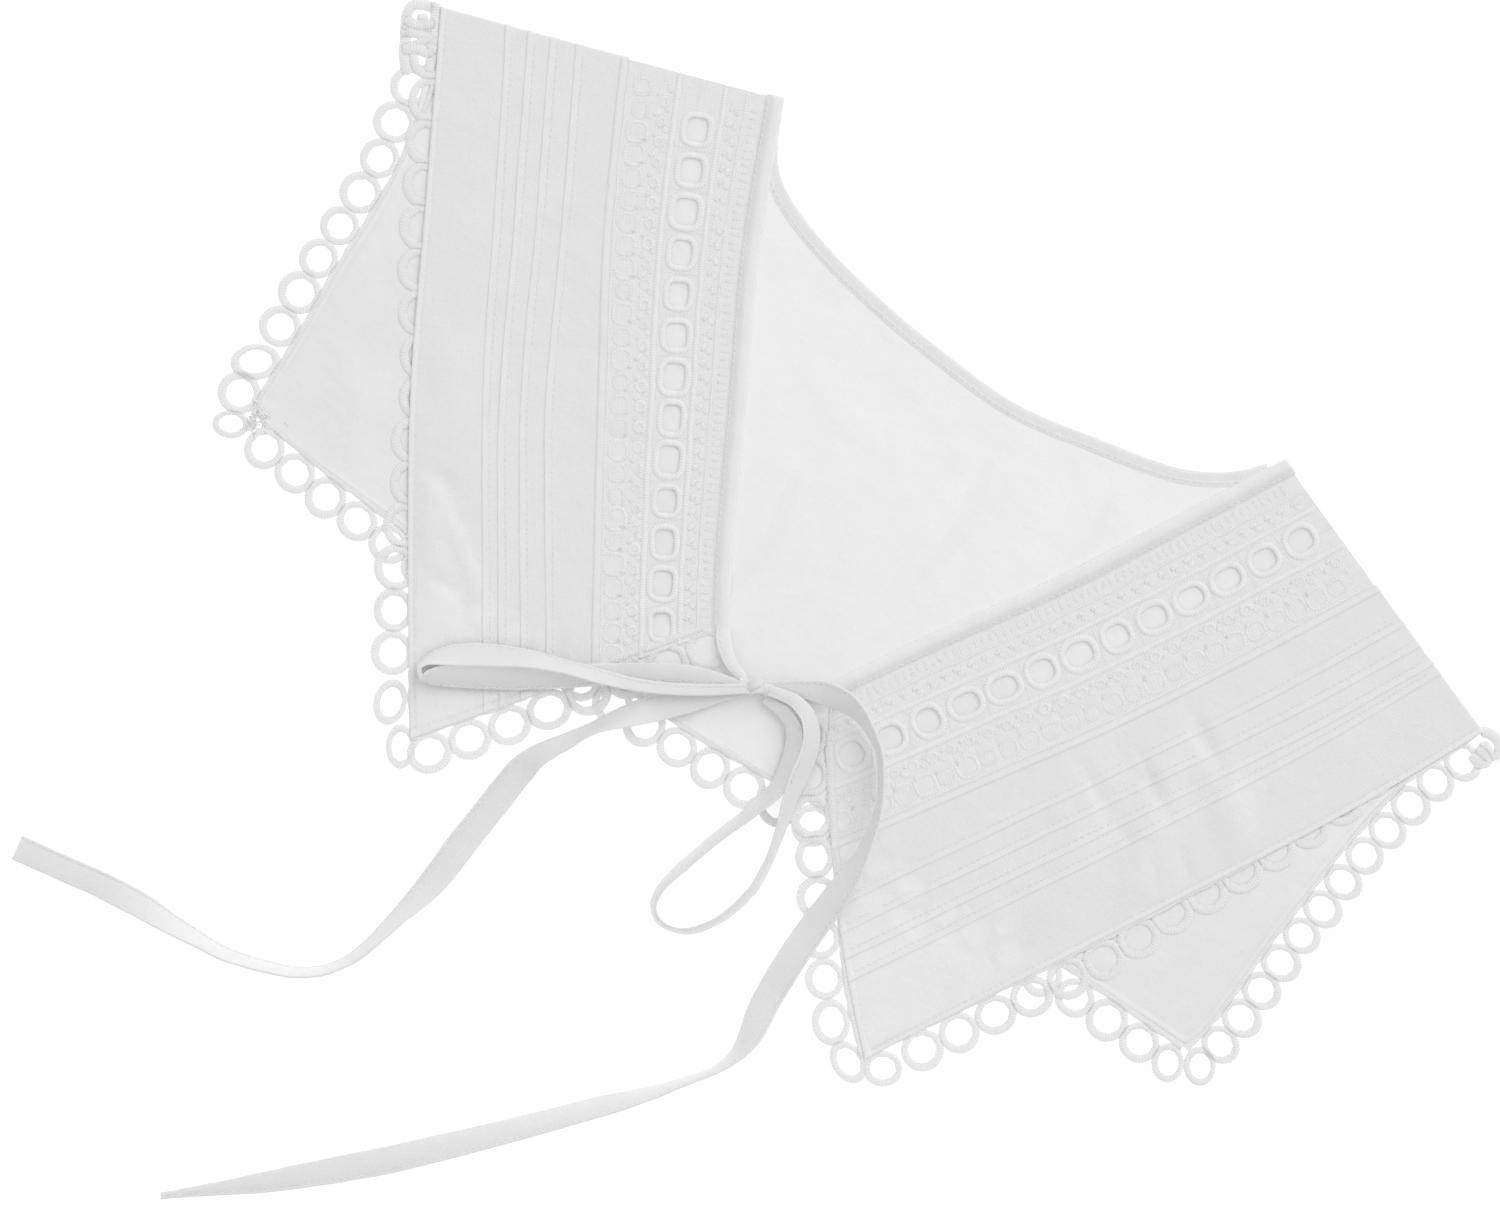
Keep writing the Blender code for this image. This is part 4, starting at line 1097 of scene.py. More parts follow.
# Back. Its shoulder corners are pulled in by a share of the fold's length. Its
# grid's size is its width and height; the rest are painted light and shade in its
# tone: painted backlight in the middle, painted shade at the corners and under the
# fronts.

SHOULDER_PULL = 0.045
BACK_SIZE = (420.0, 160.0)
BACK_STEP = 2.0
PAINTED_BACKLIGHT_MIDDLE = 0.04
PAINTED_SHADE_CORNERS = 0.06
PAINTED_SHADE_UNDER_FRONTS = 0.055
# Section of the back's neck binding: distance from the neck edge, height and tone;
# the tone is painted shade across its top and a painted highlight where it slopes
# down to the panel
BACK_BINDING_PROFILE = (
    (-0.05, 0.25, 0.97), (0, 0.6, 0.98), (0.35, 0.85, 0.985), (1.2, 0.95, 0.96), (2.8, 0.93, 0.955),
    (3.2, 0.88, 1.01), (3.8, 0.82, 1.03), (4.1, 0.72, 0.985), (4.9, 0.6, 1),
)


def back_grid(columns, rows):
    """Points of the back cloth between its four edges, from the lower left."""
    folds_at = {side: np.reshape(FRONT_SECTIONS[side][-1][:4], (2, 2)) for side in SIDES}
    for neck, hem in folds_at.values():
        neck += (hem - neck) * SHOULDER_PULL
    fold_left, fold_right = folds_at["left"][::-1], folds_at["right"]
    low = smooth_line(BACK_LOWER_EDGE, 3.0)
    left = np.vstack([smooth_line(BACK_LEFT_EDGE[::-1], 3.0)[:-1], fold_left[:1]])
    right = np.vstack([smooth_line(BACK_RIGHT_EDGE, 3.0)[:-1], fold_right[1:]])
    top = np.vstack([fold_left, PANEL_NECK, fold_right])
    lower, upper, west, east = (
        place_along(line, share * length_along(line)[-1]) for line, share in
        ((low, columns), (top, columns), (left, rows), (right, rows)))
    u, v = columns[None, :, None], rows[:, None, None]
    return ((1 - v) * lower[None] + v * upper[None] + (1 - u) * west[:, None]
            + u * east[:, None] - (1 - u) * (1 - v) * lower[0] - u * (1 - v) * lower[-1]
            - (1 - u) * v * upper[0] - u * v * upper[-1])


def graded(length, hem_stops, spacing):
    """Shares of a length: fine at both hems, even between."""
    inner = np.arange(hem_stops[-1] + spacing, length - hem_stops[-1] - 0.5 * spacing,
                      spacing)
    stops = np.concatenate([hem_stops, inner, length - np.asarray(hem_stops)[::-1]])
    return stops / length


# Section of a turned hem: distances from the edge, rises as a share, and tones, which
# are a painted highlight on the raised strip and painted shade in the crease inside it
HEM_STOPS = (0.0, 0.25, 0.8, 1.6, 1.95, 2.3, 3.0)
HEM_RISES = (-0.12, 1.0, 1.0, 0.9, 0.4, -0.1, 0.0)
HEM_PAINTED_LIGHT = (1.0, 1.015, 1.025, 1.02, 0.99, 0.965, 0.995)


def hem_profile(from_edge, rise):
    """Rise and tone of a turned hem at a distance from the cloth's edge. The tone is a
    painted highlight on the raised strip and painted shade in the crease inside it.
    """
    heights = np.interp(from_edge, HEM_STOPS, HEM_RISES)
    return heights * rise, np.interp(from_edge, HEM_STOPS, HEM_PAINTED_LIGHT)


def back_painted_light(x, y):
    """Tones of the back, all painted light and shade: painted backlight makes the
    middle lighter, and painted shade darkens the corners and the cloth under the fronts."""
    tones = (1.0 + PAINTED_BACKLIGHT_MIDDLE * ease((y + 20.0) / 70.0)
             - PAINTED_SHADE_CORNERS * ease((np.abs(x) - 90.0) / 80.0))
    for side, way in (("left", -1.0), ("right", 1.0)):
        low, hem, top = (FRONTS[side].fine[row, k:k + 2] for row, k in
                         ((0, 0), (0, 2), (-1, 0)))
        inward, upward = (
            (x - low[0]) * across[0] + (y - low[1]) * across[1]
            for across in (right_of(unit(top - low)) * way, right_of(unit(low - hem)) * way))
        # Where a front covers the back, the back gets painted shade
        under_front_shade = ease((inward - 2.0) / 6.0) * ease(upward / 5.0)
        under_front_shade *= 1.0 - ease((inward - 50.0) / 20.0)
        tones = tones * (1.0 - PAINTED_SHADE_UNDER_FRONTS * under_front_shade)
    return tones


class COLLAR_OT_back(Operator):
    """Make the back panel and its neck binding"""
    bl_idname = "collar.back"
    bl_label = "Back"

    def execute(self, context):
        sizes = context.scene.collar_sizes
        plan = back_grid(*(graded(length, HEM_STOPS, BACK_STEP) for length in BACK_SIZE))
        x, y = plan[..., 0], plan[..., 1]
        rims = [smooth_line(edge, 4.0) for edge in
                (BACK_LEFT_EDGE, BACK_LOWER_EDGE, BACK_RIGHT_EDGE)]
        from_edge = np.minimum.reduce([off_line(x, y, rim)[0] for rim in rims])
        height = folds("back", x, y) * ease(from_edge / 10.0)
        lift, tones = hem_profile(from_edge, sizes.hem_rise / MM)
        lift[:, 0] = lift[:, -1] = lift[0] = -0.1
        pile = Pile()
        # The cloth's tones carry the hem's painted highlight and shade and the back's painted light and
        # shade
        add_shell(pile, np.dstack([x, y, 0.4 + np.clip(height, -0.2, 0.6)]),
                  sizes.cloth / MM, lift, plan, tones * back_painted_light(x, y))
        cloth = pile.piece("back_cloth", finishes()["cotton_lawn_wrong_side_painted_backlight"])
        use(cloth, "cotton", "back_panel")
        stops = np.linspace(0.0, length_along(NECK_LINE)[-1], 150)
        line = place_along(NECK_LINE, stops)
        distance, heights, tones = np.transpose(BACK_BINDING_PROFILE)
        flat = line[:, None] + right_of(directions(line))[:, None] * distance[None, :, None]
        top = heights[None] + wobble(stops, 5, 6.0, 0.06)[:, None]
        pile = Pile()
        add_shell(pile, np.dstack([flat, top * 0.5 + 0.1]), BINDING_THICKNESS,
                  0.5 * top - 0.1, pairs(stops, distance), tones)
        binding = pile.piece("back_neck_binding_fold", finishes()["cotton_lawn_woven"])
        use(binding, "cotton", "back_neck_binding")
        return {"FINISHED"}


# Fronts

def filled(columns, spacing):
    """Columns of (distances, rise, tone) with more between, spacing apart at most."""
    result = [columns[0]]
    for a, b in zip(columns, columns[1:]):
        count = int(np.max(b[0] - a[0]) / spacing)
        for k in range(1, count + 1):
            t = k / (count + 1)
            result.append(tuple(p + (q - p) * t for p, q in zip(a, b)))
        result.append(b)
    return result


def tuck_distances(up, from_hem):
    """Distance of one tuck from the hem at shares of the way up."""
    return np.interp(up, (0.0, TUCK_MIDDLE, 1.0), from_hem)


# Section of a pintuck: distance from its edge, rise as a share, and tone; the tone is
# a faint painted highlight on the tuck's crest and a painted shadow line where it drops
# to the cloth
TUCK_PROFILE = (
    (-2.6, 0, 1), (-2.3, 0.2, 0.995), (-1.6, 0.6, 1), (-0.6, 0.9, 1), (-0.2, 1, 1.012), (0, 0.8, 1),
    (0.12, 0.02, 0.95), (0.5, 0, 0.975), (1.1, 0, 1),
)
# Section of the lace's seam on the cloth: distance from the seam, rise, tone; the tone
# is a painted highlight on the seam's top and painted shade at its edges
SEAM_PROFILE = (
    (-0.6, 0.1, 0.99), (-0.1, 0.2, 0.97), (0.3, 0.3, 1), (1.3, 0.32, 1.012), (1.9, 0.2, 1),
    (2.15, -0.05, 0.955), (2.5, 0, 0.98), (3.2, 0, 1),
)
# Section of the neck binding: distance from the neck edge, height over the
# underside and tone; the tone is a painted highlight on its rounded neck edge and
# painted shade down its slope towards the lace
BINDING_PROFILE = (
    (0, 0.25, 1), (0.04, 0.7, 1.03), (0.3, 0.95, 1.05), (0.9, 1.1, 1.05), (2, 1.15, 1.04), (3.2, 1.1, 1),
    (3.9, 0.98, 0.945), (4.6, 0.86, 0.92), (5.4, 0.76, 0.91), (6, 0.7, 0.915), (6.5, 0.66, 0.96),
)


def row_stops(front):
    """Shares of the way up: fine at the lower hem and at the shoulder."""
    low = np.asarray(HEM_STOPS)
    inner = np.arange(low[-1] + 1.4, front.length - 2.0, 1.4)
    high = front.length - np.asarray([1.2, 0.5, 0.0])
    return np.concatenate([low, inner, high]) / front.length


def curled(middle, front, base):
    """Add rows that turn over the shoulder fold and down to the back."""
    neck, hem = np.reshape(FRONT_SECTIONS[front.side][-1][:4], (2, 2))
    outward = right_of(unit(hem - neck)) * (-1.0 if front.side == "right" else 1.0)
    last = middle[-1]
    radius = 0.5 * (last[:, 2] - base)
    rows = [middle]
    for angle in np.radians(np.arange(30.0, 181.0, 30.0)):
        row = last.copy()
        row[:, :2] += outward * (radius * sin(angle))[:, None]
        row[:, 2] = last[:, 2] - radius * (1.0 - cos(angle))
        rows.append(row[None])
    return np.concatenate(rows)


def front_shell(name, side, columns, thickness, base_lift, spacing, hem_rise=None):
    """A closed cloth of one front from its columns (distances, rise, tone)."""
    front = FRONTS[side]
    up = row_stops(front)
    columns = filled(columns(front, up), spacing)
    distance, rise, tone = (
        np.stack([np.broadcast_to(column[k], up.shape) for column in columns], -1)
        for k in range(3))
    x, y = front.at(up[:, None] * np.ones_like(distance), distance)
    from_hem = front.width(up)[:, None] - distance
    if hem_rise is not None:
        from_low = (up * front.length)[:, None] * np.ones_like(distance)
        # The lower hem's painted highlight and shade multiply the cloth's tone
        hem, hem_painted_light = hem_profile(from_low, hem_rise)
        rise = np.where(from_low < HEM_STOPS[-1], np.maximum(rise, 0.0) * 0.8 + hem, rise)
        tone = tone * hem_painted_light
    z = level(side, x, y, from_hem) + base_lift
    z = np.maximum(z, 0.5 * thickness + 0.02 + BACK_TOP * over_back(x, y))
    middle = curled(np.dstack([x, y, z]), front, 0.4)
    extra = len(middle) - len(up)
    # The rows turned over the shoulder fold get a painted highlight: their tone is 1% lighter
    rise, tone, distance = (np.vstack([part] + [part[-1:] * gain] * extra) for part, gain in
                            ((rise, 1.0), (tone, 1.01), (distance, 1.0)))
    along = np.concatenate([up * front.length, front.length + 0.4 * np.arange(1, extra + 1)])
    places = np.dstack([along[:, None] * np.ones_like(rise), distance])
    pile = Pile()
    add_shell(pile, middle, thickness, rise, places, tone)
    return pile.piece(name, finishes()["cotton_lawn_woven"])


def panel_columns(tuck_rise, hem_rise, side):
    """Columns of the pintucked cloth: seam, tucks and hem."""
    def columns(front, up):
        width, seam, along = front.width(up), front.seam(up), up * front.length
        made = [(seam + at, rise, tone) for at, rise, tone in SEAM_PROFILE]
        for k, tuck in enumerate(reversed(TUCKS_FROM_HEM[side])):
            edge = width - tuck_distances(up, tuck) + wobble(along, 40 + k, 22.0, 0.22)
            share = tuck_rise * (0.8 + wobble(along, 50 + k, 12.0, 0.35))
            made += [(edge + at, rise * share, tone) for at, rise, tone in TUCK_PROFILE]
        made += [(width - at, rise * hem_rise, tone) for at, rise, tone
                 in reversed(list(zip(HEM_STOPS, HEM_RISES, HEM_PAINTED_LIGHT)))]
        return made
    return columns


def binding_columns(front, up):
    """Columns of the neck binding."""
    along = up * front.length
    ripple = wobble(along, 61 if front.side == "left" else 62, 5.0, 0.1)
    return [(at + 0.0 * up, height - 0.3 + ripple * (at > 0.5), tone)
            for at, height, tone in BINDING_PROFILE]


class COLLAR_OT_fronts(Operator):
    """Make the pintucked cloths and neck bindings of both fronts"""
    bl_idname = "collar.fronts"
    bl_label = "Fronts"

    def execute(self, context):
        sizes = context.scene.collar_sizes
        hem_rise = sizes.hem_rise / MM
        for side in SIDES:
            columns = panel_columns(sizes.tuck_rise / MM, hem_rise, side)
            cloth = front_shell(f"front_{side}_cloth", side, columns, sizes.cloth / MM,
                                CLOTH_LIFT, 1.6, hem_rise)
            use(cloth, "cotton", f"front_{side}_panel")
            binding = front_shell(f"front_{side}_neck_binding_fold", side, binding_columns,
                                  BINDING_THICKNESS, 0.4, 1.2)
            use(binding, "cotton", f"front_{side}_neck_binding")
        return {"FINISHED"}


# Lace

# Tone of raised cords against the ground's, and the ground's unevenness
CORD_TONE = 1.035
GROUND_RELIEF = 0.04

# Straight cords of the lace: share of the band's width, half width, half height
LACE_CORDS = ((0.135, 0.45, 0.25), (0.285, 0.95, 0.42), (0.62, 1.05, 0.45), (0.975, 0.5, 0.25))
# The links' own strip of ground: shares of the band's width
LINK_STRIP = (0.3, 0.61)
LINK_HALF = (5.4, 4.4)
LINK_SQUARENESS = {"left": 0.65, "right": 0.85}
GROUND_STEP = 1.3
CELL_SIDES = 28


def squared_ring(half_along, half_across, squareness, count):
    """Points of a rounded rectangle, counter-clockwise."""
    turn = 2.0 * pi * (np.arange(count) + 0.5) / count
    return np.stack([
        np.sign(np.cos(turn)) * np.abs(np.cos(turn)) ** squareness * half_along,
        np.sign(np.sin(turn)) * np.abs(np.sin(turn)) ** squareness * half_across], -1)


def add_ground_strip(pile, front, shares, relief, seed):
    """A strip of the lace's ground cloth between two shares of its width."""
    stops = np.arange(0.0, front.length + 0.01, GROUND_STEP)
    stops[-1] = front.length
    count = max(3, int((shares[1] - shares[0]) * BAND_WIDTH / GROUND_STEP))
    along, share = np.meshgrid(stops, np.linspace(*shares, count), indexing="ij")
    plan = front.on_lace(along, share)
    bumps = np.random.RandomState(seed).uniform(-1.0, 1.0, along.shape) * relief
    z = level(front.side, plan[..., 0], plan[..., 1]) + CLOTH_LIFT
    # The tone follows the bumps: painted light on the raised spots, painted shade in the dips
    add_shell(pile, np.dstack([plan, z]), 0.4, bumps, np.dstack([along, share * BAND_WIDTH]),
              0.99 + 0.015 * bumps / relief)


def add_link_cells(pile, front, centres, sizes):
    """The ground round each link, open inside the link."""
    middle_share = 0.5 * (LINK_STRIP[0] + LINK_STRIP[1])
    half_across = 0.5 * (LINK_STRIP[1] - LINK_STRIP[0]) * BAND_WIDTH
    stops = np.concatenate([[0.0], 0.5 * (centres[1:] + centres[:-1]), [front.length]])
    turn = 2.0 * pi * (np.arange(CELL_SIDES) + 0.5) / CELL_SIDES
    reach = 1.0 / np.maximum(np.abs(np.cos(turn)), np.abs(np.sin(turn)))
    outer = np.stack([np.cos(turn) * reach, np.sin(turn) * reach * half_across], -1)
    for centre, low, high, size in zip(centres, stops, stops[1:], sizes):
        inner = squared_ring(LINK_HALF[0] * size[0] - 0.3, LINK_HALF[1] * size[1] - 0.3,
                             LINK_SQUARENESS[front.side], CELL_SIDES)
        inner[:, 1] += (LINK_CENTRE - middle_share) * BAND_WIDTH
        reached = np.where(outer[:, :1] > 0.0, high - centre, centre - low)
        whole = outer * np.hstack([reached, np.ones_like(reached)])
        rings = np.stack([inner + (whole - inner) * t for t in (0.0, 0.35, 1.0)])
        rings = np.concatenate([rings, rings[:, :1]], axis=1)
        along = centre + rings[..., 0]
        share = middle_share + rings[..., 1] / BAND_WIDTH
        plan = front.on_lace(along, share)
        z = level(front.side, plan[..., 0], plan[..., 1]) + CLOTH_LIFT
        add_shell(pile, np.dstack([plan, z]), 0.4, np.zeros(z.shape),
                  np.dstack([along, share * BAND_WIDTH]), 0.985)


def bar_motif(half_long, half_wide, half_high):
    """A short bar or stitch, rounded at its ends."""
    pile = Pile()
    stops = np.asarray((-1.0, -0.82, 0.0, 0.82, 1.0)) * half_long
    sizes = np.asarray((0.35, 0.85, 1.0, 0.85, 0.35))
    add_tube(pile, np.stack([stops, 0.0 * stops, 0.0 * stops], -1), half_wide * sizes,
             half_high * sizes, 6, False, CORD_TONE)
    return pile.piece("bar_motif", None)


def loop_motif(half_along, half_across, squareness, half_wide, half_high, count=16,
               sides=6):
    """A closed loop of cord: a link, an eyelet or a filled link."""
    pile = Pile()
    line = squared_ring(half_along, half_across, squareness, count)
    add_tube(pile, with_height(line, 0.0), half_wide, half_high, sides, True, CORD_TONE)
    return pile.piece("loop_motif", None)


# Rows of small motifs: name, share of the band's width, pitch, start, turn in
# degrees from the row's direction. A row ends ROW_END before the lace does.
ROW_END = 3.8
LACE_MOTIFS = (
    ("rung", 0.062, 2.6, 1.2, 90.0),
    ("dot", 0.185, 5.0, 1.6, 25.0),
    ("dot", 0.225, 5.0, 3.4, -30.0),
    ("eyelet", 0.705, 6.8, 3.4, 0.0),
    ("dot", 0.675, 6.8, 0.4, 40.0),
    ("dot", 0.74, 6.8, 0.0, -40.0),
    ("loop", 0.87, 7.6, 4.2, 0.0),
    ("rung", 0.80, 7.6, 0.4, 90.0),
)


def make_lace(side, sizes, mats):
    """One insertion band: ground, straight cords, links and small motifs."""
    front = FRONTS[side]
    satin = mats["lace_cord_satin_stitched"]
    random = np.random.RandomState(11 if side == "left" else 12)
    centres = np.arange(LINK_START, front.length - 0.35 * LINK_PITCH, LINK_PITCH)
    spread = 1.0 + random.uniform(-0.08, 0.08, (len(centres), 2))
    ground = Pile()
    add_ground_strip(ground, front, (-0.02, LINK_STRIP[0]), GROUND_RELIEF, 2)
    add_link_cells(ground, front, centres, spread)
    add_ground_strip(ground, front, (LINK_STRIP[1], 1.0), GROUND_RELIEF, 3)
    ground = ground.piece(f"front_{side}_lace_ground", mats["lace_ground_woven"])
    cords = Pile()
    for k, (share, half_wide, half_high) in enumerate(LACE_CORDS):
        line = front.lace_line(share, 1.2)
        along = length_along(line)
        line = line + right_of(directions(line)) * wobble(along, 70 + k, 8.0, 0.18)[:, None]
        z = level(side, line[:, 0], line[:, 1]) + CLOTH_LIFT + 0.15
        swell = (1.0 + wobble(along, 80 + k, 3.0, 0.12)) * rounded(len(line), 0.7)
        add_tube(cords, with_height(line, z), half_wide * swell, half_high * swell, 8, False,
                 CORD_TONE)
    cords = cords.piece(f"front_{side}_lace_cords", satin)
    motifs = {
        "rung": bar_motif(1.5, 0.5, 0.2),
        "dot": bar_motif(1.3, 1.0, 0.21),
        "eyelet": loop_motif(1.5, 1.4, 1.0, 0.7, 0.25),
        "loop": loop_motif(3.1, 2.9, 0.7, 0.65, 0.23),
        "link": loop_motif(*LINK_HALF, LINK_SQUARENESS[side], 0.5 * sizes.link_cord / MM,
                           0.42, 26, 8),
    }
    rows = []
    for k, (kind, share, pitch, start, turned) in enumerate(LACE_MOTIFS):
        line = front.lace_line(share)
        stops = np.arange(start, length_along(line)[-1] - ROW_END, pitch)
        places, turns = marks_on(line, stops)
        rows.append(repeat(f"row_{side}_{k}", motifs[kind], satin, places,
                           turns + radians(turned), None, 0.18, 0.2, 100 + k))
    rows = drape(joined(f"front_{side}_lace_motifs", rows), side, CLOTH_LIFT + 0.12)
    places, ahead = (front.on_lace(centres + step, LINK_CENTRE) for step in (0.0, 0.5))
    run = ahead - places
    stretch = np.column_stack([spread, np.ones(len(centres))])
    stretch[:, 1] *= (front.seam(front.up_at(centres)) - NECK_BINDING_WIDTH) / BAND_WIDTH
    links = repeat(f"front_{side}_lace_links", motifs["link"], satin, places,
                   np.arctan2(run[:, 1], run[:, 0]), stretch, 0.0, 0.05, 5)
    for motif in motifs.values():
        drop_motif(motif)
    return ground, cords, rows, drape(links, side, CLOTH_LIFT + 0.2)


class COLLAR_OT_lace(Operator):
    """Make the lace insertion of both fronts"""
    bl_idname = "collar.lace"
    bl_label = "Lace insertion"

    def execute(self, context):
        sizes = context.scene.collar_sizes
        mats = finishes()
        for side in SIDES:
            ground, *raised = make_lace(side, sizes, mats)
            use(ground, "lace", f"front_{side}_lace")
            for piece in raised:
                use(piece, "lace")
        return {"FINISHED"}


# Ring edging

def ring_spots(path, count, first_along, last_along):
    """Centre, angle and half length of each ring along a path."""
    line = smooth_line(path, 4.0)
    halves = np.asarray([first_along] + [1.0] * (count - 2) + [last_along])
    reached = np.concatenate([[0.0], np.cumsum(halves[:-1] + halves[1:])])
    unit_length = length_along(line)[-1] / reached[-1]
    centres, angles = marks_on(line, reached * unit_length)
    return centres, angles, halves * unit_length


def ring_motif(cord):
    """One ring of the edging, its cord thicker on the outer side (-Y)."""
    pile = Pile()
    turn = 2.0 * pi * np.arange(32) / 32
    outer = 0.5 * (1.0 - np.sin(turn))
    half_wide = 0.5 * cord * (0.9 + 0.2 * outer ** 2 + 0.05 * np.sin(9.0 * turn))
    radius = RING_RADIUS + 0.35 - half_wide
    line = np.stack([np.cos(turn) * radius, np.sin(turn) * radius, 0.0 * turn], -1)
    add_tube(pile, line, half_wide, 0.36, 8, closed=True)
    return pile.piece("ring_motif", None)


def header_line(edge):
    """The edging's straight cord, from before the first ring to past the last."""
    before = edge[:1] + unit(edge[:1] - edge[1:2])
    after = edge[-1:] + unit(edge[-1:] - edge[-2:-1])
    return smooth_line(np.vstack([before, edge, after]), 1.5)


def make_edging(name, ring, satin, seed):
    """One run of the edging: its rings and its straight cord."""
    side, count, first, last, path = EDGING_RUNS[name]
    centres, angles, halves = ring_spots(path, count, first[0], last[0])
    random = np.random.RandomState(200 + seed)
    stretch = np.ones((count, 3))
    stretch[:, 0] = (halves + 0.15) / RING_RADIUS * random.uniform(0.96, 1.04, count)
    stretch[:, 1] = random.uniform(0.92, 1.05, count)
    stretch[0, 1], stretch[-1, 1] = first[1], last[1]
    out = np.stack([np.sin(angles), -np.cos(angles)], -1)
    edge = centres - out * (RING_RADIUS + HEADER_INSET)
    share, slip = np.transpose(SLIPPED_UNDER.get(name, USUAL_SLIP))
    centres = centres - out * np.interp(np.linspace(0.0, 1.0, count), share, slip)[:, None]
    for k, x, y, turn, half_long, half_wide in PULLED_RINGS.get(name, ()):
        centres[k] = (x, y)
        angles[k] = radians(turn)
        stretch[k, :2] = half_long / RING_RADIUS, half_wide / RING_RADIUS
    rings = repeat(name + "_rings", ring, satin, centres, angles, stretch, 0.01, 0.06,
                   30 + seed)
    drape(rings, side, RING_LIFT[side is not None], 0.05, from_hem=0.0)
    pile = Pile()
    line = header_line(edge)
    z = HEADER_HEIGHT
    if side:
        z = level(side, line[:, 0], line[:, 1], 0.0) + HEADER_LIFT
    swell = 1.0 + wobble(length_along(line), 90 + seed, 3.0, 0.25)
    add_tube(pile, with_height(line, z), HEADER_HALF[0] * swell, HEADER_HALF[1], 8, False,
             HEADER_TONE)
    return joined(name + "_cords", [rings, pile.piece(name + "_header", satin)])


class COLLAR_OT_edging(Operator):
    """Make the ring edging all round"""
    bl_idname = "collar.edging"
    bl_label = "Ring edging"

    def execute(self, context):
        satin = finishes()["lace_cord_satin_stitched"]
        ring = ring_motif(context.scene.collar_sizes.ring_cord / MM)
        for seed, name in enumerate(EDGING_RUNS):
            use(make_edging(name, ring, satin, seed), "lace", name)
        pile = Pile()
        for k, points in enumerate(FOLDED_TRIM):
            line = smooth_line(points, 0.8)
            sizes = rounded(len(line), 0.5)
            add_tube(pile, with_height(line, 0.6 + 0.15 * k % 0.6), 1.9 * sizes,
                     0.5 * sizes, 8)
        use(pile.piece("folded_trim_cords", satin), "lace")
        random = np.random.RandomState(77)
        stitch = bar_motif(1.3, 0.35, 0.12)
        x, y, spread, count = DARNED_CORNER
        marks = (x, y) + random.normal(0.0, spread, (count, 2))
        darn = repeat("corner_darn", stitch, satin, with_height(marks, 0.95),
                      random.uniform(0.0, pi, count), None, 0.2, 0.3, 8)
        use(darn, "lace")
        for motif in (ring, stitch):
            drop_motif(motif)
        return {"FINISHED"}


# Stitches. Rows lie this far within hems and seams, from a tuck's edge and from the
# neck edge, and this high over a front's underside.

STITCH_INSET = 1.9
TUCK_STITCH_INSET = 2.4
BINDING_STITCHES = 5.5
STITCH_HEIGHT = CLOTH_LIFT + 0.25
BINDING_STITCH_HEIGHT = 1.25


def stitch_rows(side):
    """Lines of stitches on a front: each a line x, y, z."""
    front = FRONTS[side]
    up = np.linspace(0.012, 0.995, 240)
    width = front.width(up)
    rows = [(up, width - STITCH_INSET, STITCH_HEIGHT),
            (up, front.seam(up) + STITCH_INSET, STITCH_HEIGHT),
            (up, BINDING_STITCHES + 0.0 * up, BINDING_STITCH_HEIGHT)]
    rows += [(up, width - tuck_distances(up, tuck) - TUCK_STITCH_INSET, STITCH_HEIGHT)
             for tuck in TUCKS_FROM_HEM[side]]
    rows.append((STITCH_INSET / front.length,
                 np.linspace(front.seam(0.0) + 3.0, front.width(0.0) - 4.0, 60),
                 STITCH_HEIGHT))
    lines = []
    for share, across, over in rows:
        x, y = front.at(share, across)
        z = level(side, x, y, front.width(share) - across) + over
        lines.append(np.stack([x, y, z], -1))
    return lines


def sew(name, stitch, rows, sway, seed, inset=1.0):
    """Stitches along rows x, y, z, as one piece."""
    pitch = bpy.context.scene.collar_sizes.stitch_pitch / MM
    spots = [marks_on(row, np.arange(inset, length_along(row)[-1] - inset, pitch))
             for row in rows]
    return repeat(name, stitch, finishes()["cotton_thread_twisted"],
                  np.vstack([marks for marks, _ in spots]),
                  np.concatenate([turns for _, turns in spots]), None, 0.12, sway, seed)


def tie_seam(seed, name):
    """The line of stitches x, y, z along a tie's edge."""
    centre, wide, face, width = tie_frames(name)
    seam = (0.5 * width - SEAM_FROM_EDGE) * (1 if seed % 2 else -1)
    return centre + wide * seam[:, None] + face * TIE_HALF_HIGH


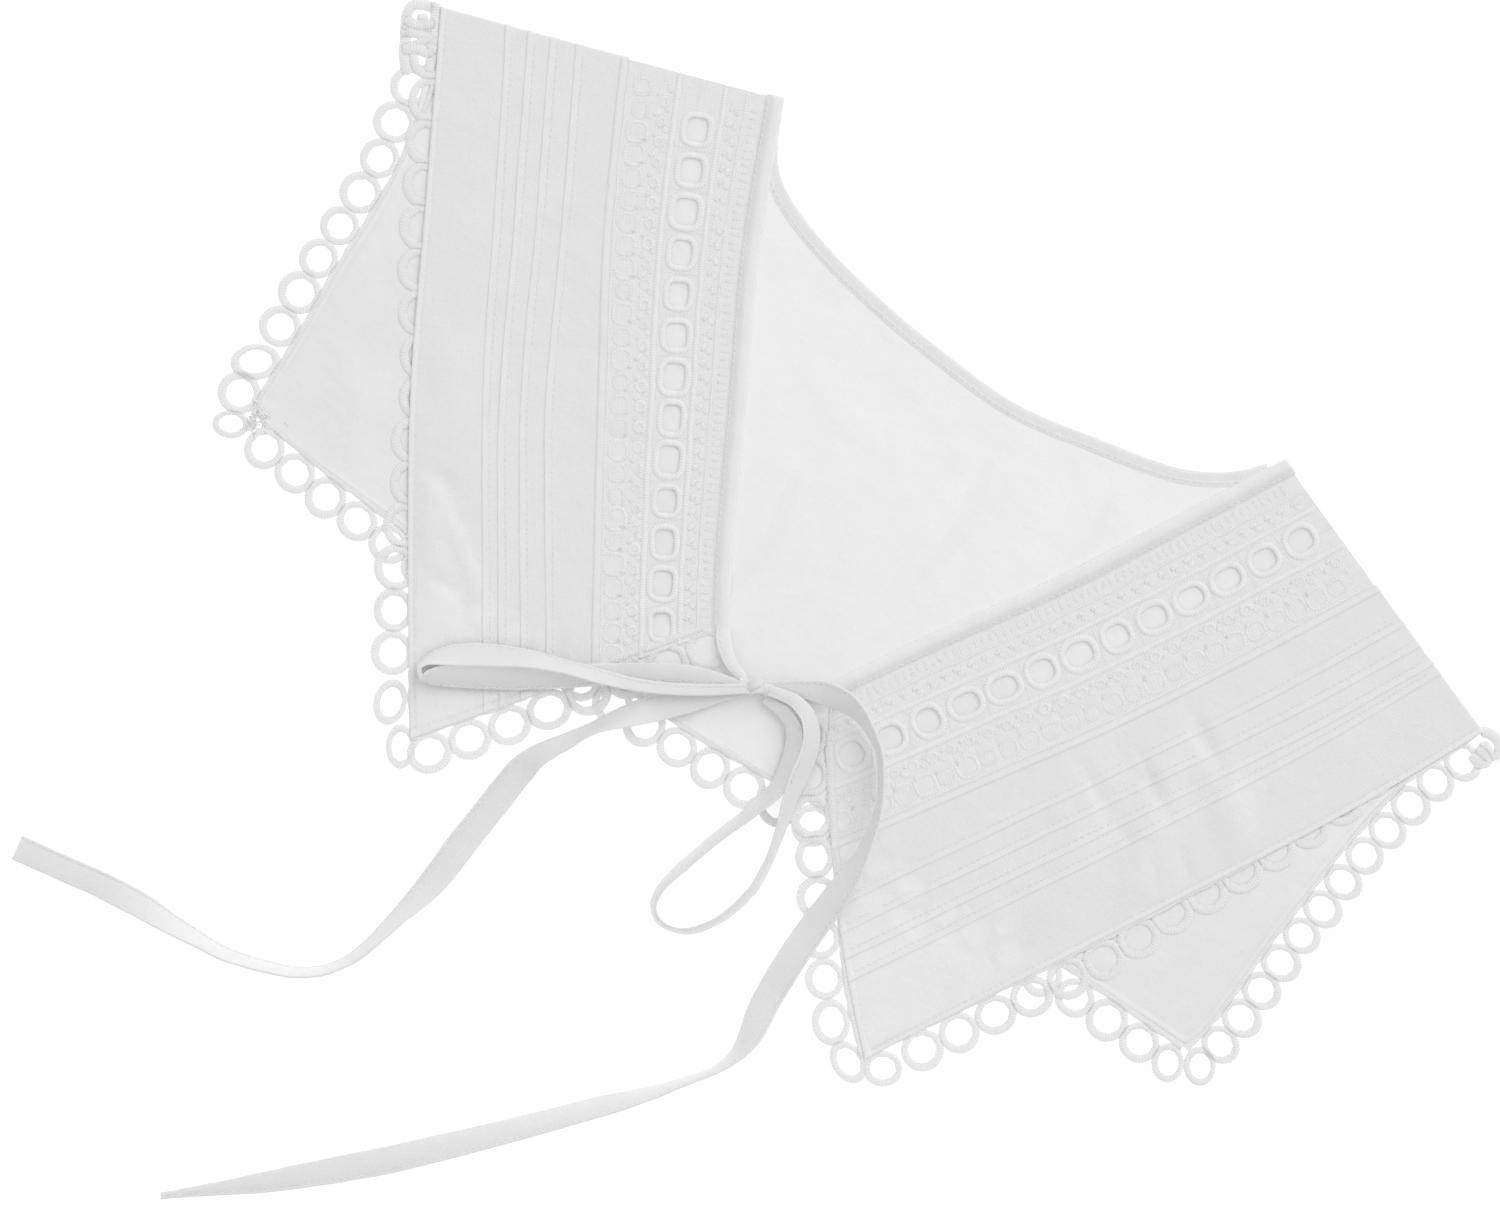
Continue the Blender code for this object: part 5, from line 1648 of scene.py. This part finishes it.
class COLLAR_OT_stitches(Operator):
    """Sew the stitches on hems, tucks, seams, bindings and ties"""
    bl_idname = "collar.stitches"
    bl_label = "Stitches"

    def execute(self, context):
        stitch = bar_motif(0.36 * context.scene.collar_sizes.stitch_pitch / MM, 0.2, 0.16)
        binding = NECK_LINE + right_of(directions(NECK_LINE)) * 3.7
        for side in SIDES:
            use(sew(f"front_{side}_stitches", stitch, stitch_rows(side), 0.08, 3), "cotton")
        use(sew("back_stitches", stitch, [with_height(binding, 0.98)], 0.08, 3), "cotton")
        seams = [tie_seam(seed, name) for seed, name in enumerate(TIE_ROUTES)]
        use(sew("tie_stitches", stitch, seams, 0.06, 4, inset=2.0), "tie")
        drop_motif(stitch)
        return {"FINISHED"}


class COLLAR_PT_pieces(Panel):
    """Lists the collar's pieces in the order of making"""
    bl_idname = "COLLAR_PT_pieces"
    bl_label = "False collar"
    bl_space_type = "VIEW_3D"
    bl_region_type = "UI"
    bl_category = "Collar"

    def draw(self, context):
        for settings in ("collar_sizes", "collar_colours", "collar_stage"):
            group = getattr(context.scene, settings)
            box = self.layout.box()
            for key in group.__annotations__:
                box.prop(group, key)
        for operator in PIECES:
            self.layout.operator(operator.bl_idname)


PIECES = (
    COLLAR_OT_stage, COLLAR_OT_ties, COLLAR_OT_back, COLLAR_OT_fronts, COLLAR_OT_lace,
    COLLAR_OT_edging, COLLAR_OT_stitches,
)
SETTINGS = {
    "collar_sizes": CollarSizes,
    "collar_colours": CollarColours,
    "collar_stage": StageSettings,
}


def register():
    for kind in tuple(SETTINGS.values()) + PIECES + (COLLAR_PT_pieces,):
        bpy.utils.register_class(kind)
    for name, kind in SETTINGS.items():
        setattr(bpy.types.Scene, name, PointerProperty(type=kind))


def unregister():
    for name in SETTINGS:
        delattr(bpy.types.Scene, name)
    for kind in (COLLAR_PT_pieces,) + PIECES + tuple(SETTINGS.values()):
        bpy.utils.unregister_class(kind)


def main():
    register()
    for piece in PIECES:
        group, name = piece.bl_idname.split(".")
        getattr(getattr(bpy.ops, group), name)()


if __name__ == "__main__":
    main()
